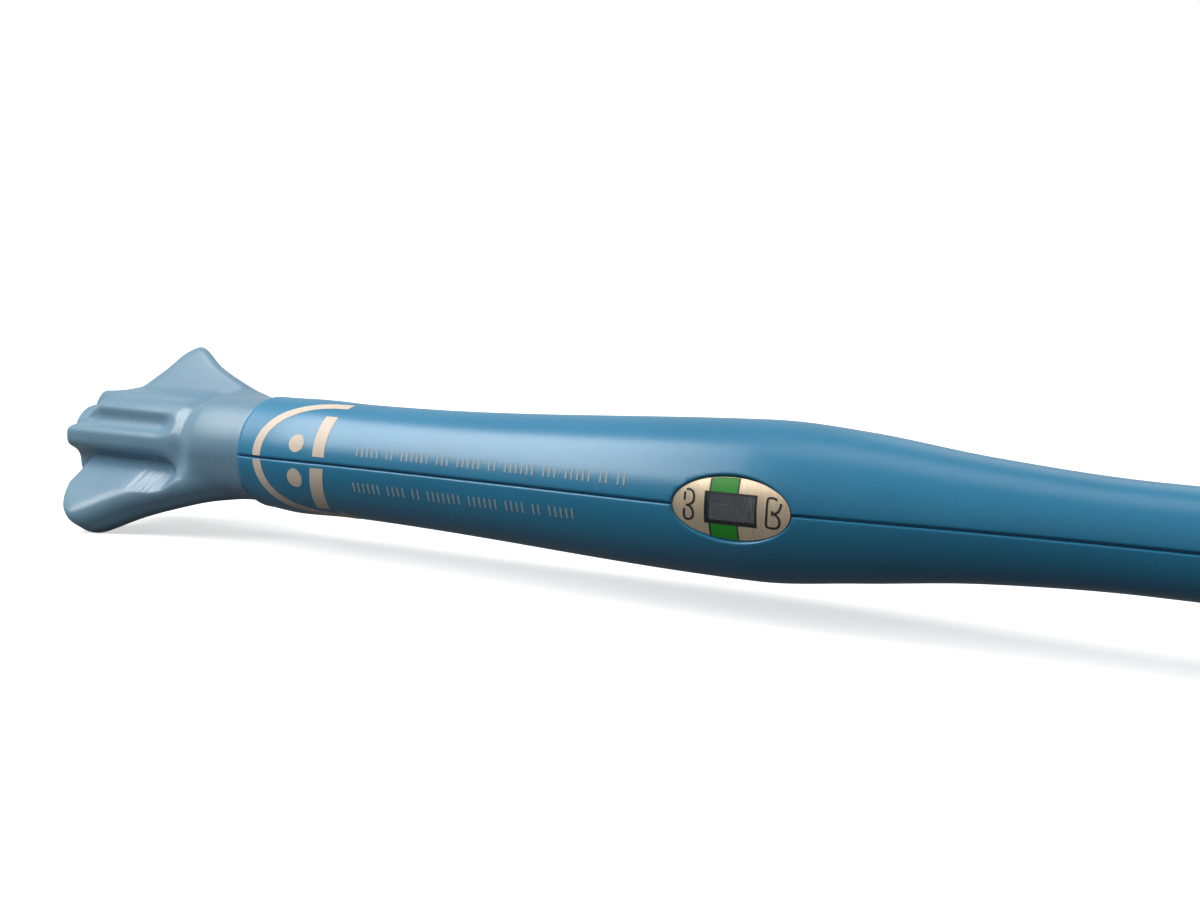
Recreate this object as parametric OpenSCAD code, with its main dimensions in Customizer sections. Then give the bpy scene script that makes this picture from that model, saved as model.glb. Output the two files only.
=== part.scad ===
// Circular surgical stapler with a curved shaft, in millimetres.
// X runs along the casing, from the end face of the wing nut at zero towards the head.
// The parting plane of the casing is at z = 0 and the indicator window faces -Y.

/* [Wing nut] */
// Length of the wing nut, collar included
nut_len = 50; // [46:1:54]
// Radius of the end face of the hub
nut_end_r = 7.6; // [6.8:0.1:8]
// Radius of the fluted hub
hub_r = 8.6; // [8.2:0.1:9.4]
// Radius of the collar next to the casing
collar_r = 9.6; // [9.2:0.1:10.2]
// Length of the collar
collar_len = 15; // [12:0.5:16]
// Distance between the two wing tips
wing_span = 47; // [40:0.5:54]
// Thickness of a wing
wing_t = 7; // [5:0.5:8]
// Distance of the wing tips from the end face
wing_tip_x = 13.5; // [12:0.1:14.5]
// Turn of the wings about the axis, as photographed
wing_turn = 46; // [0:1:90]
// Radius of a flute
flute_r = 2; // [1.5:0.1:2.4]
// Length of a flute from the end face
flute_len = 31; // [20:1:31]

/* [Casing] */
// Wall thickness of the casing
wall = 2; // [1.6:0.1:2.2]
// Radius at the tail, next to the wing nut
tail_r = 10.4; // [10.2:0.1:11]
// Radius of the low shoulder behind the tail
shoulder_r = 10.7; // [10.4:0.05:11.2]
// Radius of the bulge at the window
bulge_r = 12.6; // [12.2:0.1:13.2]
// Radius of the slim waist
waist_r = 7.8; // [7.6:0.1:8.6]
// Radius between the handle knuckles
hip_r = 11.5; // [11.2:0.1:12.4]
// Radius of the nose
nose_r = 8.4; // [8.1:0.1:9]
// Distance from the wing nut's end face to the centre of the window
window_x = 154; // [150:1:158]
// Distance from the wing nut's end face to the handle pivots
pivot_x = 338; // [332:1:350]
// Distance from the pivots to the end of the nose
nose_len = 40; // [38:1:44]

/* [Window] */
// Length of the oval indicator plate
plate_len = 20; // [18:0.5:22]
// Height of the oval indicator plate
plate_h = 9.8; // [9:0.1:10.4]
// Thickness of the indicator plate
plate_t = 0.8; // [0.6:0.1:0.9]
// Depth of the plate's face below the bulge
plate_sink = 0.5; // [0.4:0.05:0.6]
// Length of the clear window
lens_len = 8.8; // [8:0.1:9.4]
// Height of the clear window
lens_h = 4.8; // [4:0.1:5.2]

/* [Drive] */
// Outer radius of the drive sleeve
sleeve_r = 6; // [5.6:0.1:6.2]
// Bore radius of the drive sleeve
sleeve_bore_r = 4.2; // [4:0.1:4.4]
// Radius over the lead screw's thread
screw_r = 3.9; // [3.5:0.1:3.9]
// Length of the lead screw
screw_len = 110; // [104:1:114]
// Travel of the screw for each turn of the wing nut
lead = 4; // [3:0.25:4]
// Radius of the pull rod
rod_r = 2.2; // [1.8:0.1:2.4]
// Travel from the resting pose to the closed head
close_travel = 24; // [16:1:24]
// Travel from the resting pose to the fully open head
open_travel = 16; // [10:1:16]

/* [Handles] */
// Distance of each pivot from the axis
pivot_y = 15; // [14.8:0.1:16]
// Radius of a pivot pin
pivot_pin_r = 2; // [1.5:0.1:2.5]
// Length of a handle from its pivot
handle_len = 97; // [80:1:99]
// Height of a handle
handle_h = 15; // [14:0.5:15.4]
// Largest width of the grip
grip_w = 11; // [8:0.5:12]
// Angle that a handle is squeezed through
squeeze = 22; // [18:0.5:22]
// Radius of the handle's eye round its pivot
eye_r = 7; // [6:0.1:7]
// Radius of the casing's knuckle round a pivot
knuckle_r = 10; // [9.5:0.1:11]

/* [Firing] */
// Outer radius of the firing tube
pusher_r = 5.2; // [5:0.05:5.2]
// Bore radius of the firing tube
pusher_bore_r = 4.5; // [4.4:0.05:4.6]
// Radius of the collar that the handles press
press_r = 7.6; // [7:0.1:7.6]
// Thickness of that collar
press_t = 3; // [2:0.2:3.4]
// Wire diameter of the return spring
spring_wire = 1.1; // [0.8:0.1:1.2]
// Number of turns of the return spring
spring_turns = 7; // [5:1:8]

/* [Shaft] */
// Outer radius of the shaft tube
shaft_r = 6.4; // [6.2:0.1:6.8]
// Wall of the shaft tube
shaft_wall = 0.8; // [0.6:0.05:0.8]
// Length of the straight stretch between the nose and the bend
shaft_straight = 26; // [22:1:40]
// Radius of the bend
bend_r = 180; // [170:5:220]
// Angle of the bend
bend = 38; // [25:1:45]
// Length of the straight end, up to the staple face
end_straight = 62; // [62:1:80]

/* [Head] */
// Outer radius of the head
head_r = 15.5; // [15.3:0.1:16.5]
// Length of the cylindrical part of the head
head_len = 18; // [18:0.5:24]
// Length of the cone behind it
cone_len = 18; // [16:0.5:24]
// Number of staples in each of the two rings
staples_per_ring = 16; // [10:1:17]
// Radius of the inner ring of staples
ring_in_r = 11.5; // [11.4:0.05:11.6]
// Radius of the outer ring of staples
ring_out_r = 13.5; // [13.4:0.05:13.6]
// Width of a staple's crown
crown_w = 3.6; // [2.6:0.1:3.7]
// Length of a staple's legs
leg_len = 4.6; // [3.5:0.1:4.8]
// Thickness of the staple wire
wire_t = 0.3; // [0.2:0.02:0.4]
// Outer radius of the circular knife
knife_r = 9.6; // [9.4:0.05:9.65]
// Thickness of the blade
blade_t = 0.4; // [0.3:0.05:0.5]

/* [Anvil] */
// Radius of the anvil
anvil_r = 15.2; // [15:0.1:16]
// Height of the anvil from its face to the top of the dome
anvil_h = 9; // [8:0.5:12]
// Outer radius of the hollow anvil shaft
anvil_shaft_r = 4.2; // [4:0.05:4.2]
// Length of the anvil shaft below the anvil's face
anvil_shaft_len = 28; // [26:1:32]
// Radius of the rod inside the anvil shaft
spike_r = 3; // [2.6:0.1:3.1]
// Gap between the staple face and the anvil when closed
closed_gap = 1.5; // [1.2:0.1:2]

/* [Hidden] */
$fn = 64;
// Overrun of every cut
cut = 1;
// Clearances: seated pieces, running fits, moving neighbours and the handles' slots
touch = 0.02;
run = 0.05;
clear = 0.3;
loose = 0.4;

// Casing: stations between the tail, the window, the pivots and the nose, as shares of each span
shoulder_share = 0.09;
grip_share = 0.23;
text_share = 0.452;
fall_share = 0.09;
taper_share = 0.195;
waist_share = 0.325;
waist_end_share = 0.795;
hip_front_share = 0.55;
nose_wall_share = 0.65;
text_r_share = 0.15;
fall_r_share = 0.742;
taper_r_share = 0.275;
waist_end_r_share = 0.11;
hip_front_r_share = 0.77;
housing_x = nut_len;
housing_end = pivot_x + nose_len;
tail_span = window_x - housing_x;
waist_span = pivot_x - window_x;
outline = [
    [housing_x, tail_r],
    [housing_x + shoulder_share * tail_span, shoulder_r],
    [housing_x + grip_share * tail_span, tail_r],
    [housing_x + text_share * tail_span, tail_r + text_r_share * (bulge_r - tail_r)],
    [window_x, bulge_r],
    [window_x + fall_share * waist_span, waist_r + fall_r_share * (bulge_r - waist_r)],
    [window_x + taper_share * waist_span, waist_r + taper_r_share * (bulge_r - waist_r)],
    [window_x + waist_share * waist_span, waist_r],
    [window_x + waist_end_share * waist_span, waist_r + waist_end_r_share * (hip_r - waist_r)],
    [pivot_x, hip_r],
    [pivot_x + hip_front_share * nose_len, nose_r + hip_front_r_share * (hip_r - nose_r)],
    [housing_end, nose_r]
];
outer_steps = 4;
inner_steps = 2;
oval_steps = 48;
knuckle_edge = 3.5;
slot_h = handle_h / 2 + loose;
shell_pin_r = 0.9;
shell_boss_r = 1.8;
shell_pin_len = 8;
shell_pin_shares = [0.07, 0.43, 0.66];
rail_gap = 1.25;
rail_t = 1.1;
rail_z = screw_r + clear;
rail_ends = 4;
seal_len = 2.5;
nose_wall_x = pivot_x + nose_wall_share * nose_len;
shaft_x = nose_wall_x + seal_len;
bend_x = housing_end + shaft_straight;

// Wing nut: outline of a wing as shares of the tip's place and reach
wing_shares = [
    [0, 0.3], [0.15, 0.43], [0.36, 0.52], [0.58, 0.72], [0.72, 0.89], [0.9, 0.985], [1.05, 1], [1.26, 0.935],
    [1.75, 0.77], [2.37, 0.64], [2.95, 0.52]
];
nut_edge = 1;
collar_edge = 1.5;
wing_end_gap = 4;
flute_lean = 52;
flute_phase = 17;
side_flute_share = 0.9;
flute_out_share = 0.25;
cap_r = 5;
cap_t = 1.6;
nut_screw_r = 1.6;
nut_screw_head_r = 3.4;
nut_screw_head_t = 2.4;
nut_screw_len = 18;
hex_share = 0.8;

// Drive
bush_len = 7;
rear_bush_x = housing_x + wall;
rear_bush_r = 9.2;
front_bush_back = 21;
front_bush_x = window_x - front_bush_back;
front_bush_r = 10.6;
flange_t = 1.6;
flange_r = 7.6;
ring_t = 1.2;
ring_x = rear_bush_x + bush_len + clear;
ring_groove_r = 5.2;
ring_mouth_share = 0.7;
sleeve_x = 8;
sleeve_past = 11;
sleeve_end = front_bush_x + bush_len + sleeve_past;
sleeve_floor = 30;
outer_ring_r = 6.4;
outer_ring_pitch = 1;
screw_x = 80;
screw_core_r = 3.1;
screw_land = 1.6;
rod_socket = 12;
socket_x = screw_x + screw_len - rod_socket;
rivet_r = 0.9;
guide_pin_gap = 10;
guide_pin_x = screw_x + screw_len + guide_pin_gap;
guide_pin_r = 1.1;
guide_pin_half = waist_r - wall - clear;
rod_guide_back = 40;
rod_guide_x = pivot_x - rod_guide_back;
rod_guide_len = 6;
rod_guide_r = 6.6;

// Indicator: its fine outside thread moves it a quarter of the screw's travel, the other way
indicator_share = 0.25;
green_shift = 1.2;
flag_x = window_x - green_shift - close_travel * indicator_share;
flag_half = 1;
flag_h = 3.2;
flag_top_y = -10.1;
arm_y = -8.8;
arm_t = 1;
carriage_len = 6;
carriage_back = 20;
carriage_x = front_bush_x - carriage_back;
carriage_r = 8.4;

// Handles and the fork that presses the firing tube
fork_arm = 13.2;
fork_tip_r = 1.5;
fork_t = 1.9;
fork_back = 2.6;
fork_front = 0.2;
fork_z = handle_h / 2 - fork_t;
fork_room_back = 6.5;
fork_room_front = 8;
stroke = 2 * fork_arm * sin(squeeze / 2);
press_x = pivot_x - fork_arm * sin(squeeze / 2) + fork_tip_r + clear;
neck_half = 4.2;
neck_lap = 2;
grip_start = 10;
grip_bow = 3;
grip_min_share = 0.62;
grip_swell_share = 0.9;
grip_phase = 20;
grip_end_share = 0.97;
grip_end_taper_share = 0.8;
grip_rings = 22;
grip_sides = 24;
grip_round = 0.62;
arm_room = 4.9;
arm_inner_y = pivot_y - arm_room;
slot_len = 36;
pin_seat = 2.6;
pin_half = handle_h / 2 + pin_seat;
pusher_tail = 12;
spring_steps = 24;
spring_sides = 6;

// Safety button
safety_back = 56;
safety_x = pivot_x - safety_back;
safety_travel = 6;
safety_len = 13;
safety_w = 9;
safety_t = 1.8;
safety_stem_l = 5;
safety_stem_w = 3.4;
safety_foot_l = 9;
safety_foot_w = 5;
safety_foot_t = 1;
safety_foot_z = 4.2;
safety_rib_t = 0.8;
safety_ribs = 4;

// Head, measured from the staple face
guide_len = 7.5;
guide_wall = 0.85;
guide_in_r = knife_r + clear;
guide_out_r = head_r - guide_wall;
slot_l = crown_w + clear;
slot_w = 1;
finger_l = crown_w - 2 * run;
finger_w = 0.7;
staple_depth = 0.9;
finger_tip = staple_depth + leg_len + clear;
driver_gap = 0.8;
driver_x = guide_len + stroke + driver_gap;
driver_t = 3;
driver_r = guide_out_r - clear;
knife_depth = 0.8;
tail_tube_r = 9;
neck_wall = 1.2;
neck_r = shaft_r + neck_wall;
neck_bore_x = 27;
head_lip_x = 1;
head_lip = 0.4;
cone_share = 0.54;
cone_r_share = 0.82;

// Anvil rod and anvil, measured from the staple face at rest
anvil_x = closed_gap + close_travel;
spike_x = anvil_x - anvil_shaft_len;
spike_len = 20;
tip_len = 4.5;
tip_end_r = 0.3;
tip_spigot_r = 1.2;
tip_spigot_len = 4;
retainer_r = anvil_shaft_r;
retainer_len = 34;
band_len = 3;
band_depth = 0.4;
band_r = spike_r - run;
band_seat_r = spike_r - band_depth;
shaft_seat = 6;
slit_share = 0.35;
slit_w = 0.6;
slit_turns = [0, 60, 120];
knife_well = 4.6;
knife_well_in_r = 8.7;
knife_well_out_r = 10.3;
backup_t = 1.4;
pocket_depth = 0.5;
pocket_w = 1;
anvil_pin_r = 0.8;
anvil_pin_half = 6.4;
anvil_pin_depth = 3;
rim_share = 0.28;
dome_steps = 8;
dome_edge = 0.015;
flex_t = 1.6;
flex_h = 5;

// Smooth curve through points that are ordered along x
function slope(p, i) =
    i == 0 || i == len(p) - 1 ? 0 : (p[i + 1].y - p[i - 1].y) / (p[i + 1].x - p[i - 1].x);
function blend(a, b, ma, mb, t) =
    let (h = b.x - a.x, t2 = t * t, t3 = t2 * t)
    [
        a.x + h * t,
        a.y * (2 * t3 - 3 * t2 + 1) + b.y * (3 * t2 - 2 * t3)
        + h * (ma * (t3 - 2 * t2 + t) + mb * (t3 - t2))
    ];
function smooth(p, steps) = concat(
    [for (i = [0 : len(p) - 2], k = [0 : steps - 1])
        blend(p[i], p[i + 1], slope(p, i), slope(p, i + 1), k / steps)],
    [p[len(p) - 1]]
);
// Radius of the casing at x
function outer_r(x) =
    let (i = max([for (k = [0 : len(outline) - 2]) if (outline[k].x <= x) k]))
    blend(outline[i], outline[i + 1], slope(outline, i), slope(outline, i + 1),
        (x - outline[i].x) / (outline[i + 1].x - outline[i].x)).y;

// Places a shape that is drawn round Z on the X axis, with its +Z running along +X
module on_axis(x) {
    translate([x, 0, 0]) rotate([0, 90, 0]) children();
}

module rod(x0, x1, r) {
    on_axis(x0) cylinder(r = r, h = x1 - x0);
}

module tube(x0, x1, r_out, r_in) {
    difference() {
        rod(x0, x1, r_out);
        rod(x0 - cut, x1 + cut, r_in);
    }
}

// Block from corner to corner
module block(a, b) {
    translate(a) cube(b - a);
}

// Turned shape from points of x and radius
module turned(points) {
    on_axis(0) rotate_extrude() polygon([for (p = points) [p.y, p.x]]);
}

// Frame of the straight end of the shaft: its origin is the staple face, +X points out of it
module distal_frame() {
    translate([bend_x, bend_r, 0]) rotate([0, 0, bend]) translate([end_straight, -bend_r, 0])
        children();
}

// Section swept round the bend, from one angle to another
module along_bend(from, to) {
    translate([bend_x, bend_r, 0]) rotate([0, 0, from - 90])
        rotate_extrude(angle = to - from) translate([bend_r, 0]) children();
}

// Oval of the indicator plate, grown by a margin, as a prism along Y
module oval_prism(margin) {
    half = plate_len / 2 + margin;
    high = plate_h / 2 + margin;
    points = [for (k = [0 : oval_steps - 1])
        [half * cos(k * 360 / oval_steps), high * sin(k * 360 / oval_steps)]];
    translate([window_x, 0, 0]) rotate([90, 0, 0]) linear_extrude(bulge_r + cut) polygon(points);
}

// Wing nut

module wing_outline() {
    tip_y = wing_span / 2;
    end_x = nut_len - wing_end_gap;
    points = smooth(concat(
        [for (p = wing_shares) [p.x * wing_tip_x, p.y * tip_y]],
        [[end_x, collar_r]]
    ), outer_steps);
    for (side = [0, 1]) mirror([0, side])
        polygon(concat([[0, 0]], points, [[end_x, 0]]));
}

module flute(turn, radius, length) {
    rotate([turn, 0, 0]) translate([0, 0, hub_r + radius * flute_out_share]) {
        rod(-cut, length, radius);
        translate([length, 0, 0]) sphere(r = radius);
    }
}

module wing_nut() {
    collar_x = nut_len - collar_len;
    hub = [
        [0, 0], [0, nut_end_r - nut_edge], [nut_edge, nut_end_r], [wing_tip_x / 2, hub_r],
        [collar_x, hub_r], [collar_x + collar_edge, collar_r], [nut_len, collar_r], [nut_len, 0]
    ];
    color("lightsteelblue") difference() {
        union() {
            turned(hub);
            rotate([wing_turn, 0, 0]) translate([0, 0, -wing_t / 2])
                linear_extrude(wing_t) wing_outline();
        }
        for (side = [0, 180]) {
            flute(wing_turn + flute_phase + side, flute_r, flute_len);
            for (lean = [-flute_lean, flute_lean])
                flute(wing_turn + flute_phase + side + lean, flute_r * side_flute_share,
                    flute_len * side_flute_share);
        }
        rod(sleeve_x - touch, nut_len + cut, sleeve_r + touch);
        rod(-cut, sleeve_x + cut, nut_screw_r + run);
        rod(-cut, cap_t + nut_screw_head_t + clear, nut_screw_head_r + run);
        rod(-cut, cap_t + touch, cap_r + touch);
    }
}

module nut_cap() {
    color("lightsteelblue") rod(0, cap_t, cap_r);
}

module nut_screw() {
    head_x = cap_t + clear;
    color("silver") difference() {
        union() {
            rod(head_x, head_x + nut_screw_head_t, nut_screw_head_r);
            rod(head_x, head_x + nut_screw_len, nut_screw_r);
        }
        on_axis(head_x - cut) cylinder(r = nut_screw_r * hex_share, h = cut + nut_screw_head_t / 2, $fn = 6);
    }
}

// Drive train

module drive_sleeve() {
    thread_x = carriage_x - open_travel * indicator_share - outer_ring_pitch;
    thread_end = carriage_x + carriage_len + close_travel * indicator_share + outer_ring_pitch;
    color("gainsboro") difference() {
        union() {
            rod(sleeve_x, sleeve_end, sleeve_r);
            rod(nut_len, nut_len + flange_t, flange_r);
            for (x = [thread_x : outer_ring_pitch : thread_end])
                rod(x, x + outer_ring_pitch / 2, outer_ring_r);
        }
        rod(sleeve_floor, sleeve_end + cut, sleeve_bore_r);
        rod(sleeve_x - cut, sleeve_x + nut_screw_len, nut_screw_r + touch);
        tube(ring_x, ring_x + ring_t + touch, sleeve_r + cut, ring_groove_r);
    }
}

module retaining_ring() {
    mouth = ring_groove_r * ring_mouth_share;
    color("dimgray") difference() {
        tube(ring_x, ring_x + ring_t, flange_r, ring_groove_r + touch);
        block([ring_x - cut, -mouth, 0], [ring_x + ring_t + cut, mouth, flange_r + cut]);
    }
}

module rear_bush() {
    color("ivory") tube(rear_bush_x + touch, rear_bush_x + bush_len, rear_bush_r, sleeve_r + run);
}

module front_bush() {
    color("ivory") difference() {
        tube(front_bush_x, front_bush_x + bush_len, front_bush_r, sleeve_r + run);
        block([front_bush_x - cut, arm_y - clear, -flag_h / 2 - clear],
            [front_bush_x + bush_len + cut, arm_y + arm_t + clear, flag_h / 2 + clear]);
    }
}

module lead_screw() {
    end_x = screw_x + screw_len;
    color("silver") difference() {
        union() {
            rod(screw_x, end_x, screw_core_r);
            for (x = [screw_x : lead : socket_x - rod_socket]) rod(x, x + screw_land, screw_r);
            rod(socket_x - lead, end_x, screw_r);
        }
        rod(socket_x, end_x + cut, rod_r + touch);
        translate([socket_x + rod_socket / 2, 0, -screw_r - cut])
            cylinder(r = rivet_r + touch, h = 2 * (screw_r + cut));
    }
}

module pull_rod() {
    color("silver") difference() {
        rod(socket_x, bend_x - clear / 2, rod_r);
        translate([socket_x + rod_socket / 2, 0, -rod_r - cut])
            cylinder(r = rivet_r + touch, h = 2 * (rod_r + cut));
        translate([guide_pin_x, 0, -rod_r - cut])
            cylinder(r = guide_pin_r + touch, h = 2 * (rod_r + cut));
    }
}

module rod_rivet() {
    color("gray") translate([socket_x + rod_socket / 2, 0, -screw_r])
        cylinder(r = rivet_r, h = 2 * screw_r);
}

module guide_pin() {
    color("gray") translate([guide_pin_x, 0, -guide_pin_half])
        cylinder(r = guide_pin_r, h = 2 * guide_pin_half);
}

module rod_guide() {
    color("ivory") tube(rod_guide_x, rod_guide_x + rod_guide_len, rod_guide_r, rod_r + run);
}

// Gap indicator

module indicator_carriage() {
    color("ivory") {
        tube(carriage_x, carriage_x + carriage_len, carriage_r, outer_ring_r + run);
        block([carriage_x + carriage_len - touch, arm_y, -flag_h / 2],
            [flag_x + flag_half, arm_y + arm_t, flag_h / 2]);
    }
}

module indicator_flag() {
    color("orangered") block([flag_x - flag_half, flag_top_y, -flag_h / 2],
        [flag_x + flag_half, arm_y, flag_h / 2]);
}

module indicator_plate() {
    face_r = bulge_r - plate_sink;
    color("tan") difference() {
        intersection() {
            oval_prism(0);
            tube(window_x - plate_len, window_x + plate_len, face_r, face_r - plate_t);
        }
        block([window_x - lens_len / 2, -bulge_r - cut, -lens_h / 2],
            [window_x + lens_len / 2, 0, lens_h / 2]);
    }
}

module indicator_lens() {
    face_r = bulge_r - plate_sink - run;
    color("lightcyan", 0.35) intersection() {
        block([window_x - lens_len / 2 + touch, -bulge_r - cut, -lens_h / 2 + touch],
            [window_x + lens_len / 2 - touch, 0, lens_h / 2 - touch]);
        tube(window_x - plate_len, window_x + plate_len, face_r, face_r - plate_t + 2 * run);
    }
}

// Casing

// Half of a turned shape, above the parting plane
module half_turned(points) {
    on_axis(0) rotate([0, 0, 90]) rotate_extrude(angle = 180)
        polygon([for (p = points) [p.y, p.x]]);
}

module knuckle_profile() {
    square([knuckle_r - knuckle_edge, hip_r]);
    square([knuckle_r, hip_r - knuckle_edge]);
    translate([knuckle_r - knuckle_edge, hip_r - knuckle_edge]) circle(r = knuckle_edge);
}

module casing_block() {
    outer = smooth(outline, outer_steps);
    half_turned(concat([[housing_x, 0]], outer, [[housing_end, 0]]));
    for (side = [-1, 1]) translate([pivot_x, side * pivot_y, 0]) rotate_extrude() intersection() {
        knuckle_profile();
        square([knuckle_r, hip_r]);
    }
}

module casing_cavity() {
    inner = [for (p = smooth(outline, inner_steps)) if (p.x < nose_wall_x) [p.x, p.y - wall]];
    turned(concat(
        [[housing_x + wall, 0], [housing_x + wall, inner[0].y]],
        [for (p = inner) if (p.x > housing_x + wall) p],
        [[nose_wall_x, outer_r(nose_wall_x) - wall], [nose_wall_x, 0]]
    ));
}

// Places of the press pins, as points on the parting plane
function pin_places() = [
    for (share = shell_pin_shares, side = [-1, 1])
    let (x = housing_x + share * (housing_end - housing_x))
    [x, side * (outer_r(x) - wall - shell_pin_r / 2)]
];

module half_casing() {
    face_r = bulge_r - plate_sink;
    rail_x = guide_pin_x - close_travel - rail_ends;
    rail_end = guide_pin_x + open_travel + rail_ends;
    difference() {
        union() {
            difference() {
                casing_block();
                casing_cavity();
            }
            for (place = pin_places()) intersection() {
                casing_block();
                translate([place.x, place.y, 0]) cylinder(r = shell_boss_r, h = shell_pin_len / 2 + wall);
            }
            for (side = [-1, 1]) intersection() {
                casing_block();
                block([rail_x, side * (rail_gap + rail_t / 2) - rail_t / 2, rail_z],
                    [rail_end, side * (rail_gap + rail_t / 2) + rail_t / 2, bulge_r]);
            }
        }
        for (place = pin_places()) translate([place.x, place.y, -cut])
            cylinder(r = shell_pin_r + touch, h = shell_pin_len / 2 + cut + touch);
        rod(housing_x - cut, rear_bush_x + cut, flange_r + clear);
        rod(rear_bush_x, rear_bush_x + bush_len + touch, rear_bush_r + touch);
        rod(front_bush_x - touch, front_bush_x + bush_len + touch, front_bush_r + touch);
        rod(rod_guide_x - touch, rod_guide_x + rod_guide_len + touch, rod_guide_r + touch);
        rod(nose_wall_x - cut, shaft_x, press_r);
        rod(shaft_x - cut, housing_end + cut, shaft_r + touch);
        difference() {
            oval_prism(run);
            rod(window_x - plate_len, window_x + plate_len, face_r - plate_t - touch);
        }
        block([window_x - lens_len / 2, -bulge_r - cut, -lens_h / 2],
            [window_x + lens_len / 2, 0, lens_h / 2]);
        block([pivot_x - fork_room_back, -pivot_y, -cut], [pivot_x + fork_room_front, pivot_y, slot_h]);
        for (side = [-1, 1]) {
            translate([pivot_x, side * pivot_y, -cut]) cylinder(r = eye_r + loose, h = slot_h + cut);
            translate([pivot_x, side * pivot_y, -cut])
                cylinder(r = pivot_pin_r + touch, h = pin_half + cut + touch);
            block([pivot_x - slot_len, min(side * arm_inner_y, side * 3 * pivot_y), -cut],
                [pivot_x, max(side * arm_inner_y, side * 3 * pivot_y), slot_h]);
        }
    }
}

module upper_housing() {
    color("steelblue") difference() {
        half_casing();
        block([safety_x - safety_stem_l / 2 - clear, -safety_stem_w / 2 - clear, 0],
            [safety_x + safety_stem_l / 2 + safety_travel + clear, safety_stem_w / 2 + clear, bulge_r]);
    }
}

module lower_housing() {
    color("steelblue") mirror([0, 0, 1]) half_casing();
}

module housing_pins() {
    color("silver") for (place = pin_places())
        translate([place.x, place.y, -shell_pin_len / 2]) cylinder(r = shell_pin_r, h = shell_pin_len);
}

// Handles, drawn squeezed about their pivot at the origin, pointing towards -X

// Centre line and half width of the grip, for a share of its length
function grip_y(t) = grip_bow * sin(180 * t);
function grip_half(t) =
    grip_w / 2 * (grip_min_share
        + (1 - grip_min_share) * sin(min(180 * t * grip_swell_share + grip_phase, 180)));
function rounded(c) = sign(c) * pow(abs(c), grip_round);
function end_share(t) = t > grip_end_share ? grip_end_taper_share : 1;
function grip_ring(t) = [
    for (k = [0 : grip_sides - 1])
    let (a = 360 * k / grip_sides, s = end_share(t))
    [
        -grip_start - (handle_len - grip_start) * t,
        grip_y(t) + s * grip_half(t) * rounded(cos(a)),
        s * handle_h / 2 * rounded(sin(a))
    ]
];

module grip() {
    rings = [for (i = [0 : grip_rings]) grip_ring(i / grip_rings)];
    n = grip_sides;
    last = grip_rings * n;
    polyhedron(
        points = [for (ring = rings, p = ring) p],
        faces = concat(
            [[for (k = [n - 1 : -1 : 0]) k]],
            [for (i = [0 : grip_rings - 1], k = [0 : n - 1])
                [i * n + k, i * n + (k + 1) % n, (i + 1) * n + k]],
            [for (i = [0 : grip_rings - 1], k = [0 : n - 1])
                [(i + 1) * n + k, i * n + (k + 1) % n, (i + 1) * n + (k + 1) % n]],
            [[for (k = [0 : n - 1]) last + k]]
        )
    );
}

module handle() {
    half = handle_h / 2;
    difference() {
        union() {
            translate([0, 0, -half]) cylinder(r = eye_r, h = handle_h);
            block([-grip_start - neck_lap, -neck_half, -half], [0, neck_half, half]);
            grip();
            rotate([0, 0, squeeze / 2]) for (side = [0, 1]) mirror([0, 0, side]) {
                block([-fork_back, -fork_arm, fork_z], [fork_front, -eye_r / 2, half]);
                translate([0, -fork_arm, fork_z]) cylinder(r = fork_tip_r, h = fork_t);
            }
        }
        translate([0, 0, -half - cut]) cylinder(r = pivot_pin_r + run, h = handle_h + 2 * cut);
    }
}

module left_handle() {
    color("steelblue") translate([pivot_x, pivot_y, 0]) rotate([0, 0, -squeeze]) handle();
}

module right_handle() {
    color("steelblue") mirror([0, 1, 0])
        translate([pivot_x, pivot_y, 0]) rotate([0, 0, -squeeze]) handle();
}

module handle_pivots() {
    color("silver") for (side = [-1, 1])
        translate([pivot_x, side * pivot_y, -pin_half]) cylinder(r = pivot_pin_r, h = 2 * pin_half);
}

// Firing train

module proximal_pusher() {
    color("ivory") difference() {
        union() {
            rod(pivot_x - pusher_tail, bend_x - clear / 2, pusher_r);
            rod(press_x, press_x + press_t, press_r);
        }
        rod(pivot_x - pusher_tail - cut, bend_x + cut, pusher_bore_r);
    }
}

// Compression spring between the collar and its seat, swept along a helix
module return_spring() {
    coil_r = pusher_r + clear + spring_wire / 2;
    start_x = press_x + press_t + spring_wire / 2 + run;
    end_x = nose_wall_x - ring_t - spring_wire / 2 - run;
    sides = spring_sides;
    count = spring_turns * spring_steps;
    rise = (end_x - start_x) / count;
    rings = [
        for (i = [0 : count])
        let (a = 360 * i / spring_steps)
        [
            for (k = [0 : sides - 1])
            let (b = 360 * k / sides, r = coil_r + spring_wire / 2 * cos(b))
            [start_x + rise * i + spring_wire / 2 * sin(b), r * cos(a), r * sin(a)]
        ]
    ];
    last = count * sides;
    color("silver") polyhedron(
        points = [for (ring = rings, p = ring) p],
        faces = concat(
            [[for (k = [0 : sides - 1]) k]],
            [for (i = [0 : count - 1], k = [0 : sides - 1])
                [i * sides + k, (i + 1) * sides + k, i * sides + (k + 1) % sides]],
            [for (i = [0 : count - 1], k = [0 : sides - 1])
                [(i + 1) * sides + k, (i + 1) * sides + (k + 1) % sides, i * sides + (k + 1) % sides]],
            [[for (k = [sides - 1 : -1 : 0]) last + k]]
        )
    );
}

module spring_seat() {
    color("silver") tube(nose_wall_x - ring_t, nose_wall_x - touch, press_r, pusher_r + run);
}

module shaft_seal() {
    color("dimgray") tube(nose_wall_x, shaft_x - touch, press_r - touch, pusher_r + run);
}

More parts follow.
